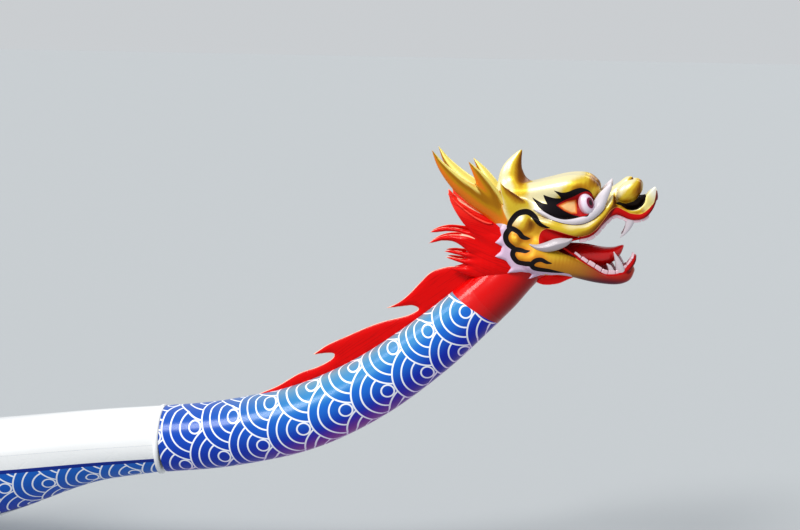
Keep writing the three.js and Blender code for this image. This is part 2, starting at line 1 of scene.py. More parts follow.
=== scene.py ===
"""Racing dragon boat afloat: a white open hull with painted waves, and a gold dragon head on its neck.

The head is measured in millimetres from HEAD, forward, to port and up, and the rest in the frame's metres.
"""
import math

import bpy
import bmesh
import numpy as np
from mathutils import Matrix, Vector


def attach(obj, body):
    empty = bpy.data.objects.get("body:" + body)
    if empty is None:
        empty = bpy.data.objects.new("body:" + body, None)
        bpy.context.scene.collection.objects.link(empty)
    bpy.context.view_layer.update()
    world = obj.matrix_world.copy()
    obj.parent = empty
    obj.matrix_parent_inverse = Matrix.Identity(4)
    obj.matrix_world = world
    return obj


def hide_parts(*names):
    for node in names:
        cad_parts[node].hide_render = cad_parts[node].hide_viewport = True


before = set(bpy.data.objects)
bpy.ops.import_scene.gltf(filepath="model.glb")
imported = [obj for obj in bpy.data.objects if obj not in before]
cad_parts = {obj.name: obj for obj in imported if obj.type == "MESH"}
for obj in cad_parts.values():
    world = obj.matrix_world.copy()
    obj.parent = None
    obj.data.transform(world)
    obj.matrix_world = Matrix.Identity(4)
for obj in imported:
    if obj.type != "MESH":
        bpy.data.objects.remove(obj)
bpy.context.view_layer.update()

# Driving dimensions, in metres
SEAM_X = 4.75                      # where the head and tail pieces meet the hull
SEAM_Z = 0.411
HEAD = np.array([5.9, 0.0, 1.1])   # the skull's reference point
MM = 0.001

# The photograph's camera
CAMERA_PLACE = (6.2105, -6.008, 1.7183)
CAMERA_FORWARD = (-0.12266, 0.98458, -0.12474)
CAMERA_UP = (-0.03165, 0.12175, 0.99206)
CAMERA_LENS = 94.09

# Surfaces from signed distances

FAR = 40.0             # the distance where nothing is near
SLAB_MARGIN = 30       # how far a bent plate may reach past the middles at its corners


def smooth_min(a, b, blend):
    """The nearer of two surfaces, melted together over blend."""
    if blend <= 0:
        return np.minimum(a, b)
    share = np.clip(0.5 + 0.5 * (b - a) / blend, 0, 1)
    return b + (a - b) * share - blend * share * (1 - share)


def smooth_max(a, b, blend):
    return -smooth_min(-a, -b, blend)


def through(points, steps=5, closed=False):
    """A smooth line through the rows of points. A row that comes twice is a corner."""
    rows = np.array(points, float)
    if closed:
        rows = np.vstack([rows[-1:], rows, rows[:2]])
    else:
        rows = np.vstack([2 * rows[:1] - rows[1:2], rows, 2 * rows[-1:] - rows[-2:-1]])
    made = []
    for a, b, c, d in zip(rows, rows[1:], rows[2:], rows[3:]):
        if np.allclose(b, c):
            continue
        for t in np.arange(steps) / steps:
            made.append(0.5 * (2 * b + (c - a) * t + (2 * a - 5 * b + 4 * c - d) * t ** 2
                               + (3 * b - a - 3 * c + d) * t ** 3))
    if not closed:
        made.append(rows[-2])
    return np.array(made)


def ball(centre, radii, turn=0.0):
    """An ellipsoid, turned in the plane of X and Z by degrees."""
    reach = max(radii)
    cos, sin = math.cos(math.radians(turn)), math.sin(math.radians(turn))

    def distance(x, y, z):
        dx, dy, dz = x - centre[0], y - centre[1], z - centre[2]
        px, pz = (cos * dx + sin * dz) / radii[0], (cos * dz - sin * dx) / radii[2]
        py = dy / radii[1]
        near = np.sqrt(px ** 2 + py ** 2 + pz ** 2)
        slope = np.sqrt((px / radii[0]) ** 2 + (py / radii[1]) ** 2 + (pz / radii[2]) ** 2)
        return near * (near - 1) / np.maximum(slope, 1e-6)

    low = [c - reach for c in centre]
    high = [c + reach for c in centre]
    return low, high, distance


def rope(rows, flat=1.0, steps=4):
    """A round bar through rows of x, y, z and radius; flat is its breadth across Y over its depth."""
    line = through(rows, steps)
    reach = line[:, 3].max() * max(flat, 1)

    def distance(x, y, z):
        found = None
        for a, b in zip(line, line[1:]):
            span = b - a
            span_y = span[1] / flat
            length = span[0] ** 2 + span_y ** 2 + span[2] ** 2
            dx, dy, dz = x - a[0], (y - a[1]) / flat, z - a[2]
            t = np.clip((dx * span[0] + dy * span_y + dz * span[2]) / length, 0, 1)
            away = np.sqrt((dx - t * span[0]) ** 2 + (dy - t * span_y) ** 2 + (dz - t * span[2]) ** 2)
            away -= a[3] + t * span[3]
            found = away if found is None else np.minimum(found, away)
        return found

    return line[:, :3].min(0) - reach, line[:, :3].max(0) + reach, distance


def outline_distance(outline, x, z):
    """Signed distance in the plane of X and Z to a closed outline, negative inside."""
    points = np.asarray(outline, float)[:, :2]
    x, z = np.broadcast_arrays(x, z)
    nearest = np.full(x.shape, np.inf)
    inside = np.zeros(x.shape, bool)
    for a, b in zip(points, np.roll(points, -1, axis=0)):
        span = b - a
        t = np.clip(((x - a[0]) * span[0] + (z - a[1]) * span[1]) / max(span @ span, 1e-9), 0, 1)
        nearest = np.minimum(nearest, (x - a[0] - t * span[0]) ** 2 + (z - a[1] - t * span[1]) ** 2)
        crosses = (a[1] > z) != (b[1] > z)
        if b[1] != a[1]:
            inside ^= crosses & (x < a[0] + (z - a[1]) * span[0] / span[1])
    return np.sqrt(nearest) * np.where(inside, -1, 1)


def line_distance(rows, x, z, steps=5):
    """Distance in the plane of X and Z to a brush stroke through rows of x, z and half width."""
    line = through(rows, steps)
    found = np.full(np.broadcast(x, z).shape, np.inf)
    for a, b in zip(line, line[1:]):
        span = b - a
        t = np.clip(((x - a[0]) * span[0] + (z - a[1]) * span[1]) / max(span[:2] @ span[:2], 1e-9), 0, 1)
        away = np.hypot(x - a[0] - t * span[0], z - a[1] - t * span[1]) - (a[2] + t * span[2])
        found = np.minimum(found, away)
    return found


def slab(outline, middle, half, crown=0.0):
    """A plate with that outline, its middle at Y = middle, thinned toward its edge over crown."""
    points = np.asarray(outline, float)[:, :2]
    middle_at = middle if callable(middle) else (lambda x, z: middle)
    margin = SLAB_MARGIN if callable(middle) else 0
    centre = middle_at(points[:, 0], points[:, 1])
    low = [points[:, 0].min(), np.min(centre) - half - margin, points[:, 1].min()]
    high = [points[:, 0].max(), np.max(centre) + half + margin, points[:, 1].max()]

    def distance(x, y, z):
        flat = outline_distance(points, x, z)
        depth = half if crown <= 0 else half * np.sqrt(np.clip(-flat / crown, 0, 1))
        return np.maximum(flat, np.abs(y - middle_at(x, z)) - depth)

    return low, high, distance


class Field:
    """A grid of signed distances on the port side, mirrored in the middle plane for its surface."""

    def __init__(self, low, high, step):
        self.step = step
        self.axes = [np.arange(low[0], high[0], step), np.arange(step / 2, high[1], step),
                     np.arange(low[2], high[2], step)]
        self.value = np.full([len(axis) for axis in self.axes], FAR, np.float32)

    def _mix(self, shape, blend, how):
        low, high, distance = shape
        margin = blend + 3 * self.step
        parts = tuple(slice(*np.searchsorted(axis, [a - margin, b + margin]))
                      for axis, a, b in zip(self.axes, low, high))
        grid = np.meshgrid(*(axis[part].astype(np.float32) for axis, part in zip(self.axes, parts)),
                           indexing="ij", sparse=True)
        self.value[parts] = how(self.value[parts], distance(*grid), blend)
        return self

    def add(self, shape, blend=0.0):
        return self._mix(shape, blend, smooth_min)

    def cut(self, shape, blend=0.0):
        return self._mix(shape, blend, lambda a, b, k: smooth_max(a, -b, k))

    def surface(self):
        """Points and four-sided faces where the distance is nought, by surface nets."""
        value = np.concatenate([self.value[:, ::-1], self.value], axis=1)
        inside = value < 0
        shape = np.array(value.shape) - 1
        corners = [(i, j, k) for i in (0, 1) for j in (0, 1) for k in (0, 1)]

        def shifted(array, corner):
            return array[tuple(slice(c, c + n) for c, n in zip(corner, shape))]

        count = sum(shifted(inside, corner).astype(np.uint8) for corner in corners)
        cells = np.argwhere((count > 0) & (count < 8))
        number = np.full(shape, -1, np.int64)
        number[tuple(cells.T)] = np.arange(len(cells))
        total, hits = np.zeros((len(cells), 3)), np.zeros(len(cells))
        for corner in corners:
            for axis in range(3):
                if corner[axis]:
                    continue
                other = np.array(corner)
                other[axis] = 1
                a = value[tuple((cells + corner).T)]
                b = value[tuple((cells + other).T)]
                crossing = (a < 0) != (b < 0)
                t = np.where(crossing, a / np.where(crossing, a - b, 1), 0)
                spot = np.array(corner, float) + np.outer(t, np.eye(3)[axis])
                total[crossing] += spot[crossing]
                hits += crossing
        points = cells + total / hits[:, None]
        faces = []
        for axis in range(3):
            u, v = (axis + 1) % 3, (axis + 2) % 3
            low = [slice(1, n) for n in shape]
            low[axis] = slice(0, shape[axis])
            high = list(low)
            high[axis] = slice(1, shape[axis] + 1)
            first, second = inside[tuple(low)], inside[tuple(high)]
            forward = first[first != second]
            edges = np.argwhere(first != second) + [0 if k == axis else 1 for k in range(3)]
            step_u, step_v = np.eye(3, dtype=int)[u], np.eye(3, dtype=int)[v]
            quad = np.stack([number[tuple((edges - a * step_u - b * step_v).T)]
                             for a, b in ((0, 0), (1, 0), (1, 1), (0, 1))], axis=1)
            quad[~forward] = quad[~forward][:, ::-1]
            faces.append(quad)
        origin = np.array([self.axes[0][0], -self.axes[1][-1], self.axes[2][0]])
        return origin + points * self.step, np.vstack(faces)


def mesh_object(name, points, faces, attributes=None):
    """A mesh of equal-sided faces, with one float attribute for each name given."""
    faces = np.asarray(faces)
    mesh = bpy.data.meshes.new(name)
    mesh.vertices.add(len(points))
    mesh.vertices.foreach_set("co", np.asarray(points, np.float32).ravel())
    mesh.loops.add(faces.size)
    mesh.loops.foreach_set("vertex_index", faces.astype(np.int32).ravel())
    mesh.polygons.add(len(faces))
    mesh.polygons.foreach_set("loop_start", np.arange(0, faces.size, faces.shape[1], dtype=np.int32))
    mesh.polygons.foreach_set("use_smooth", np.ones(len(faces), bool))
    mesh.update(calc_edges=True)
    mesh.validate()
    for key, values in (attributes or {}).items():
        made = mesh.attributes.new(key, "FLOAT", "POINT")
        made.data.foreach_set("value", np.asarray(values, np.float32))
    made = bpy.data.objects.new(name, mesh)
    bpy.context.scene.collection.objects.link(made)
    return made


def piece(made, material, replaced=(), body="root"):
    """Finishes a piece: its material, the body it rides on and the nodes that it stands for."""
    made.data.materials.clear()
    made.data.materials.append(material)
    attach(made, body)
    if replaced:
        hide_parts(*replaced)


def head_piece(name, shape, material, replaced=(), attributes=None):
    """A piece of the head from points in millimetres and faces; attributes works out its values from them."""
    points, faces = shape
    made = mesh_object(name, HEAD + points * MM, faces, attributes(*points.T) if attributes else None)
    piece(made, material, replaced)

# Materials from plain expressions

NOISE_ROUGHNESS = 0.55


def rgb(code):
    """A colour for a node's socket from its usual six-letter code."""
    parts = [int(code[i:i + 2], 16) / 255 for i in (0, 2, 4)]
    return tuple(c / 12.92 if c <= 0.04045 else ((c + 0.055) / 1.055) ** 2.4 for c in parts) + (1.0,)


def feed(slot, value):
    """Links a node's input to a value or a socket, or sets it; a colour may come as its six-letter code."""
    value = value.socket if isinstance(value, Value) else value
    if isinstance(value, bpy.types.NodeSocket):
        slot.id_data.links.new(value, slot)
    else:
        slot.default_value = rgb(value) if isinstance(value, str) else value


def math_node(operation):
    """A method of Value that takes it and the other inputs through one math node."""
    def method(*inputs):
        made = inputs[0].tree.nodes.new("ShaderNodeMath")
        made.operation = operation
        for slot, value in zip(made.inputs, inputs):
            feed(slot, value)
        return Value(made.outputs[0])

    return method


class Value:
    """A number in a material's nodes that plain arithmetic works on."""

    def __init__(self, socket):
        self.socket, self.tree = socket, socket.id_data

    __add__ = math_node("ADD")
    __sub__ = math_node("SUBTRACT")
    __mul__ = math_node("MULTIPLY")
    __truediv__ = math_node("DIVIDE")
    floor = math_node("FLOOR")
    size = math_node("ABSOLUTE")
    sine = math_node("SINE")
    bare_root = math_node("SQRT")
    lesser = math_node("MINIMUM")
    greater = math_node("MAXIMUM")
    above = math_node("GREATER_THAN")

    def root(self):
        return self.greater(0.0).bare_root()

    def step(self, low, high):
        """0 below low and 1 above high, smooth between them; with low above high it falls."""
        made = self.tree.nodes.new("ShaderNodeMapRange")
        made.interpolation_type = "SMOOTHSTEP"
        ends = (low, high, 0.0, 1.0) if low < high else (high, low, 1.0, 0.0)
        for key, value in zip(("Value", "From Min", "From Max", "To Min", "To Max"), (self, *ends)):
            feed(made.inputs[key], value)
        return Value(made.outputs["Result"])


class Finish:
    """A material with one Principled shader; its colour, bump and levels come from the calls below."""

    def __init__(self, name, colour, roughness, metallic=0.0, coat=0.0, coat_roughness=0.1, specular=0.5):
        self.material = bpy.data.materials.new(name)
        self.material.use_nodes = True
        self.tree = self.material.node_tree
        self.shader = next(n for n in self.tree.nodes if n.type == "BSDF_PRINCIPLED")
        settings = {"Base Color": colour, "Roughness": roughness, "Metallic": metallic, "Coat Weight": coat,
                    "Coat Roughness": coat_roughness, "Specular IOR Level": specular}
        for key, value in settings.items():
            feed(self.shader.inputs[key], value)
        self.colour = colour
        self.coordinates = self.tree.nodes.new("ShaderNodeTexCoord").outputs["Object"]

    def node(self, kind, **inputs):
        made = self.tree.nodes.new(kind)
        for key, value in inputs.items():
            feed(made.inputs[key], value)
        return made

    def attribute(self, name):
        made = self.node("ShaderNodeAttribute")
        made.attribute_name = name
        return Value(made.outputs["Fac"])

    def place(self):
        """The three coordinates of the point, in metres."""
        return [Value(out) for out in self.node("ShaderNodeSeparateXYZ", Vector=self.coordinates).outputs]

    def point(self, x, y, z):
        return self.node("ShaderNodeCombineXYZ", X=x, Y=y, Z=z).outputs[0]

    def noise(self, scale, detail=3.0, at=None):
        made = self.node("ShaderNodeTexNoise", Vector=at or self.coordinates, Scale=scale, Detail=detail,
                         Roughness=NOISE_ROUGHNESS)
        return Value(made.outputs["Fac"])

    def mix(self, first, second, share):
        made = self.tree.nodes.new("ShaderNodeMix")
        made.data_type = "RGBA"
        colours = [slot for slot in made.inputs if slot.type == "RGBA"]
        for slot, value in zip([made.inputs["Factor"]] + colours, [share, first, second]):
            feed(slot, value)
        return next(slot for slot in made.outputs if slot.type == "RGBA")

    def paint(self, colour, share):
        """Puts colour over what is there, where share is 1."""
        self.colour = self.mix(self.colour, colour, share)
        return self

    def coats(self, *coats):
        """Paints several pairs of a colour and a share, the last one on top."""
        for colour, share in coats:
            self.paint(colour, share)
        return self

    def clouds(self, colour, share, low, high, scale, detail=3.0):
        """Paints soft uneven patches of a colour."""
        return self.paint(colour, (self.noise(scale, detail) - 0.5).step(low, high) * share)

    def level(self, key, first, second, share):
        """Runs one of the shader's numbers from first to second by share."""
        feed(self.shader.inputs[key], share * (second - first) + first)
        return self

    def bump(self, height, distance, strength):
        made = self.node("ShaderNodeBump", Height=height, Distance=distance, Strength=strength)
        feed(self.shader.inputs["Normal"], made.outputs["Normal"])
        return self

    def uneven(self, distance, strength, scale, detail=3.0):
        """Gives the surface fine unevenness."""
        return self.bump(self.noise(scale, detail), distance, strength)

    def done(self):
        feed(self.shader.inputs["Base Color"], self.colour)
        return self.material

# The head's sculpture: rows of x, y, z and radius, or of x and z, from HEAD in millimetres

MOUTH = [[300, 72], [284, 40], [270, 25], [255, 17], [241, 14], [228, 14], [216, 18], [199, 25],
         [188, 28], [177, 26], [167, 20], [159, 11], [147, -3], [129, -24], [112, -36], [85, -42], [66, -48],
         [50, -58], [42, -68], [62, -82], [75, -91], [89, -102], [109, -116], [130, -129], [147, -140],
         [163, -147], [190, -148], [209, -142], [226, -127], [238, -108], [240, -88], [330, -70]]
LIP_HALF = np.array([[40, 95], [60, 93], [100, 87], [130, 78], [160, 63], [190, 54], [230, 50], [260, 44],
                     [280, 34], [300, 8]])
JAW_HALF = np.array([[0, 100], [40, 96], [80, 90], [110, 82], [150, 70], [190, 56], [218, 42], [232, 26],
                     [242, 8]])

ANTLER = [[-85, 44, -20, 40], [-120, 50, 5, 33], [-165, 56, 36, 32], [-203, 62, 60, 30], [-235, 68, 84, 27],
          [-264, 74, 106, 23], [-293, 80, 134, 17], [-318, 84, 164, 10], [-341, 88, 201, 1]]
PRONG = [[-130, 54, 20, 28], [-150, 56, 42, 27], [-174, 62, 80, 24], [-193, 68, 110, 19], [-212, 74, 138, 12],
         [-237, 79, 171, 1]]
EAR = [[-70, 74, 0, 40], [-88, 80, 28, 34], [-106, 88, 54, 27], [-122, 95, 78, 16], [-135, 101, 97, 8],
       [-142, 104, 116, 1]]
CREST = [[-100, 0, 60, 52], [-112, 0, 92, 44], [-117, 0, 122, 37], [-116, 0, 146, 28], [-107, 0, 172, 17],
         [-97, 0, 192, 8], [-89, 0, 206, 1]]
BROW = [[-112, 26, 74, 30], [-60, 42, 79, 32], [-5, 51, 90, 34], [50, 54, 100, 38], [88, 53, 102, 38],
        [106, 51, 97, 33]]
FOREHEAD = [[-110, 0, 70, 36], [-60, 0, 72, 36], [-10, 0, 83, 38], [45, 0, 95, 40], [84, 0, 97, 38]]
LIP_ROLL = [[-45, 96, 14, 5], [-25, 97, 6, 10], [5, 98, -3, 15], [35, 98, -12, 16], [70, 95, -17, 17],
            [100, 88, -14, 17], [125, 80, 0, 16], [146, 70, 20, 15], [162, 62, 42, 14], [176, 52, 64, 13],
            [186, 40, 82, 12]]
LID = [[-50, 94, 42, 1.5], [-16, 98, 30, 6], [20, 99, 15, 7.5], [57, 97, 10, 9.5], [84, 92, 13, 11.5],
       [110, 86, 24, 13], [130, 80, 41, 13.5], [143, 75, 58, 12], [153, 73, 80, 9], [164, 72, 102, 6],
       [175, 71, 122, 2]]
FLARE = [[114, 30], [138, 30], [149, 44], [157, 62], [163, 80], [171, 100], [180, 118], [178, 129],
         [165, 119], [150, 105], [136, 90], [124, 72], [116, 50]]
UPPER_LIP = [[52, 96, -51, 4], [66, 95, -44, 3.6], [85, 92, -39, 3.4], [112, 84, -32, 3.4],
             [129, 78, -20, 3.6], [147, 70, 2, 4.2], [159, 64, 17, 6], [170, 59, 29, 7.5],
             [188, 54, 37, 8.5], [206, 51, 32, 8.5], [228, 49, 22, 8], [248, 46, 21, 7.5],
             [264, 42, 26, 7.5], [279, 34, 39, 6.5], [291, 22, 60, 5.5], [297, 6, 84, 4]]
LOWER_LIP = [[36, 93, -64, 3.5], [60, 89, -80, 3.5], [75, 86, -89, 3.5], [89, 83, -101, 3.4],
             [109, 79, -115, 3.4], [130, 74, -128, 3.4], [147, 68, -139, 3.4], [163, 61, -146, 3.8],
             [190, 51, -147, 4.8], [209, 42, -141, 6], [226, 31, -126, 7.5], [238, 20, -109, 7],
             [241, 8, -96, 6], [241, -8, -96, 6]]
JAW = [[-40, 84, -104, 38], [0, 84, -110, 36], [40, 81, -116, 31], [76, 76, -126, 27], [110, 68, -138, 24],
       [150, 56, -149, 21], [190, 40, -154, 19], [216, 24, -148, 18], [226, 8, -136, 16], [226, -8, -136, 16]]
FRILL = [[-132, -8], [-143, -18], [-138, -39], [-156, -60], [-135, -70], [-140, -85], [-157, -101],
         [-124, -111], [-108, -131], [-120, -148], [-77, -142], [-46, -144], [-60, -164], [-21, -148],
         [12, -143], [30, -138], [-30, -112], [-80, -100], [-100, -24]]
CUSHIONS = [[-75, -3, 30], [-93, -48, 22], [-78, -94, 19], [-12, -119, 15], [-30, -62, 30]]

SWIRLS = [
    # brush strokes of x, z and half width
    [[2, -9, 0.8], [-12, -7, 4.1], [-29, 1, 6.8], [-45, 21, 7.8], [-65, 33, 8.1], [-91, 27, 8.1],
     [-110, 4, 7.6], [-116, -12, 6.7]],
    [[-53, -43, 0.8], [-64, -42, 4.9], [-76, -38, 6.7], [-89, -24, 7.3], [-110, -17, 7.8], [-124, -36, 8.1],
     [-119, -58, 7.8], [-98, -74, 7.3]],
    [[-52, -76, 0.8], [-66, -79, 4.9], [-82, -76, 6.7], [-98, -77, 7.3], [-103, -93, 7.6], [-89, -111, 7.6],
     [-67, -114, 7.3], [-50, -114, 7.3], [-38, -126, 6.8], [0, -131, 5.6], [26, -135, 3.2], [46, -137, 0.6]],
    [[13, -110, 0.6], [-4, -107, 4.6], [-20, -100, 6.1], [-36, -103, 6.6], [-48, -114, 6.6]],
]
# The black round the eye: smooth strokes that meet at the points of its spikes
EYE_INK = [
    [[-55, 75], [-42, 58], [-26, 41], [10, 22], [38, 15], [63, 17], [92, 24], [108, 26], [114, 44], [119, 64],
     [120, 80], [114, 93], [103, 101], [86, 105], [68, 101], [50, 93], [34, 90], [22, 92], [7, 96]],
    [[7, 96], [17, 88], [25, 80], [30, 73]],
    [[30, 73], [12, 73], [-6, 77], [-21, 82]],
    [[-21, 82], [-18, 73], [-13, 63], [-8, 55]],
    [[-8, 55], [-24, 59], [-40, 66], [-55, 75]],
]
EYE_OPENING = [[16, 53], [38, 66], [65, 79], [87, 91], [104, 95], [117, 86], [124, 66], [120, 44], [106, 29],
               [86, 24], [64, 26], [38, 38], [16, 53]]
EYE_AMBER = [[22, 52], [46, 64], [72, 70], [75, 46], [76, 30], [60, 29], [40, 38]]
# White skin between the brow's end and the flare
SOCKET_WHITE = [[96, 20], [112, 30], [124, 50], [126, 68], [121, 84], [132, 100], [150, 112], [160, 84],
                [150, 40], [130, 20]]
# The edge of the red on the cheek and along the upper lip, with half its peach rim's width
RIM = [[-28, -54, 1], [-29, -40, 1.5], [-24, -24, 1.8], [-10, -15, 1.8], [8, -15, 1.8], [32, -21, 1.7],
       [58, -29, 1.6], [85, -34, 1.5], [112, -28, 1.4], [129, -16, 1.4], [147, 6, 1.4], [162, 28, 1.4],
       [174, 43, 1.4], [186, 49, 1.4], [198, 46, 1.4], [207, 41, 1.4], [220, 34, 1.4], [234, 31, 1.4],
       [248, 30, 1.4], [261, 31, 1.4], [272, 35, 1.4], [282, 44, 1.4], [291, 58, 1.3], [296, 77, 1.2],
       [298, 97, 0.8]]
RED_UNDER = [[312, 80], [290, 20], [250, -4], [190, 8], [160, -14], [110, -58], [56, -62], [20, -70],
             [-30, -62]]
# The cup's rim from under the nose to the petal's tip, and the dark inside of the nostrils
CUP_RIM = [[186, 58], [200, 53], [208, 48], [220, 42], [233, 41], [245, 44], [256, 51], [263, 59], [267, 68],
           [268, 79], [273, 88], [281, 96], [291, 105], [302, 113], [330, 170], [180, 170], [180, 70]]
MUZZLE_SIDE = [[182, 28], [200, 24], [216, 18], [228, 14], [241, 14], [255, 17], [270, 26], [284, 42],
               [295, 64], [299, 98], [293, 109], [278, 102], [264, 88], [253, 64], [238, 52], [222, 50],
               [206, 56], [186, 66]]
NOSTRIL = [[176, 58], [192, 52], [206, 45], [220, 38], [236, 38], [250, 43], [262, 52], [269, 64], [270, 76],
           [265, 86], [256, 92], [244, 86], [228, 76], [206, 66], [190, 62]]
BULB = ball((222, 28, 95), (42, 24, 28), 36)
# Soft spots of painted shade and painted highlight on the gold, darker where change is above 0: x, z, size
# and change
SPOTS = [(-84, 103, 18, 1.0), (-78, 38, 14, -0.4), (-34, 72, 27, -0.6), (0, 84, 24, -0.5),
         (126, 97, 14, -0.5), (77, 104, 16, 0.4), (237, 70, 12, -0.35), (-216, 129, 22, 0.35),
         (-184, 64, 26, 0.3), (-277, 150, 16, 0.3), (62, -12, 18, -0.25), (100, 4, 16, -0.25)]

MOUTH_INSIDE = [[-60, -40], [60, -10], [110, 4], [150, 30], [190, 44], [262, 44], [290, 70], [300, 40],
                [300, -60], [246, -90], [232, -140], [190, -165], [60, -132], [-30, -112]]
FRILL_WHITE = [[-126, -6], [-119, -18], [-122, -40], [-115, -62], [-98, -80], [-100, -100], [-84, -114],
               [-50, -118], [-34, -130], [0, -134], [60, -141], [60, -156], [0, -158], [-70, -190],
               [-180, -160], [-190, -40], [-160, -8]]
FLARE_SLAB = (FLARE, lambda x, z: 78 - 0.06 * (z - 40), 7, 12)
CHEEK_FRONT = 150      # ahead of this the red and its rim reach round to the muzzle's inner side
WIDE_ROUNDS, SOFT_ROUNDS = 6, 2    # how often a surface is averaged, and how often its hollows are


def half_at(table, x):
    return np.interp(x, table[:, 0], table[:, 1])


def prism(outline, half, inset=0.0):
    """Everything inside an outline drawn from the side, out to half(x) less inset from the middle."""
    points = np.asarray(outline, float)
    low = [points[:, 0].min(), -10, points[:, 1].min()]
    high = [points[:, 0].max(), 140, points[:, 1].max()]

    def distance(x, y, z):
        flat = outline_distance(points, x, z)
        return np.maximum(flat, y - (half(x) - inset)) if half else flat + 0 * y

    return low, high, distance


def skull_field():
    field = Field((-356, 0, -190), (320, 136, 222), 3.1)
    field.add(ball((-85, 0, -5), (84, 94, 96)))
    field.add(ball((-15, 0, 18), (95, 95, 84)), 25)
    field.add(ball((-60, 58, -68), (72, 46, 70)), 22)
    field.add(ball((30, 60, -40), (60, 36, 40)), 20)
    field.add(rope([[0, 0, 26, 78], [70, 0, 34, 70], [120, 0, 36, 52], [165, 0, 44, 40], [205, 0, 60, 32],
                    [236, 0, 66, 22]]), 22)
    field.add(rope([[100, 50, 18, 34], [150, 40, 34, 28], [200, 28, 58, 22], [230, 20, 62, 18]]), 14)
    field.add(rope(BROW), 14)
    field.add(rope(FOREHEAD), 26)
    field.add(rope([[-150, 0, 10, 60], [-120, 0, 50, 50], [-100, 0, 70, 44]]), 24)
    field.add(rope(CREST, 0.72), 22)
    field.add(rope(ANTLER, 0.9), 20)
    field.add(rope(PRONG, 0.85), 12)
    field.add(rope(EAR, 0.5), 16)
    for x, z, radius in CUSHIONS:
        field.add(ball((x, 84, z), (radius, 24, radius)), 7)
    field.add(rope(JAW), 18)
    field.add(rope([[-60, 0, -80, 60], [-10, 0, -106, 44]]), 20)
    field.add(rope([[-20, 0, -112, 40], [60, 0, -129, 31], [130, 0, -147, 22], [190, 0, -156, 17],
                    [212, 0, -152, 15]], 2.2), 16)
    field.cut(ball((70, 104, 60), (52, 24, 30)), 7)
    field.add(rope(LID), 5)
    field.add(slab(*FLARE_SLAB), 5)
    field.add(rope(LIP_ROLL), 6)
    field.add(slab(FRILL, lambda x, z: 84 + 0.12 * (x + 80) + 0.1 * (z + 80), 9, 9), 8)
    field.add(ball((248, 0, 74), (55, 48, 58)), 10)
    field.add(slab(MUZZLE_SIDE, lambda x, z: half_at(LIP_HALF, x) - 6, 7), 4)
    field.cut(ball((242, 0, 100), (49, 38, 46)), 6)
    field.cut(prism(through(CUP_RIM, 3, True), None), 4)
    field.add(rope([[180, 0, 60, 22], [215, 0, 60, 23], [243, 0, 62, 20], [262, 0, 70, 13],
                    [280, 0, 82, 7]], 1.45), 4)
    field.add(rope([[150, 0, 62, 30], [178, 0, 80, 24], [200, 0, 102, 18], [215, 0, 119, 14],
                    [222, 0, 125, 10]]), 10)
    field.add(BULB, 4)
    field.cut(prism(MOUTH, None), 3)
    palate = [[40, -60], [60, -20], [110, -2], [150, 22], [190, 34], [230, 36], [262, 34], [276, 40],
              [290, 60], [300, 30], [250, 0], [150, -30]]
    field.cut(prism(palate, lambda x: half_at(LIP_HALF, x), 16), 5)
    trough = [[-20, -60], [0, -106], [60, -122], [120, -140], [180, -158], [208, -154], [222, -138],
              [240, -90], [60, -20], [20, -30]]
    field.cut(prism(trough, lambda x: half_at(JAW_HALF, x), 17), 6)
    field.add(rope(UPPER_LIP), 3)
    field.add(rope(LOWER_LIP), 3)
    return field


def hollows(points, faces):
    """How far each point lies below its neighbours, smoothed: above 0 in a hollow, in millimetres."""
    edges = np.vstack([faces[:, [0, 1]], faces[:, [1, 2]], faces[:, [2, 3]], faces[:, [3, 0]]])
    count = np.bincount(edges[:, 0], minlength=len(points)).astype(float)
    count += np.bincount(edges[:, 1], minlength=len(points))

    def spread(values):
        total = np.bincount(edges[:, 0], values[edges[:, 1]], len(points))
        total += np.bincount(edges[:, 1], values[edges[:, 0]], len(points))
        return total / np.maximum(count, 1)

    corners = points[faces]
    face_normal = np.cross(corners[:, 2] - corners[:, 0], corners[:, 3] - corners[:, 1])
    normal = np.zeros_like(points)
    for k in range(4):
        for axis in range(3):
            normal[:, axis] += np.bincount(faces[:, k], face_normal[:, axis], len(points))
    normal /= np.maximum(np.linalg.norm(normal, axis=1, keepdims=True), 1e-9)
    wide = points
    for _ in range(WIDE_ROUNDS):
        wide = np.stack([spread(wide[:, axis]) for axis in range(3)], axis=1)
    depth = np.einsum("ij,ij->i", wide - points, normal)
    for _ in range(SOFT_ROUNDS):
        depth = spread(depth)
    return depth, normal


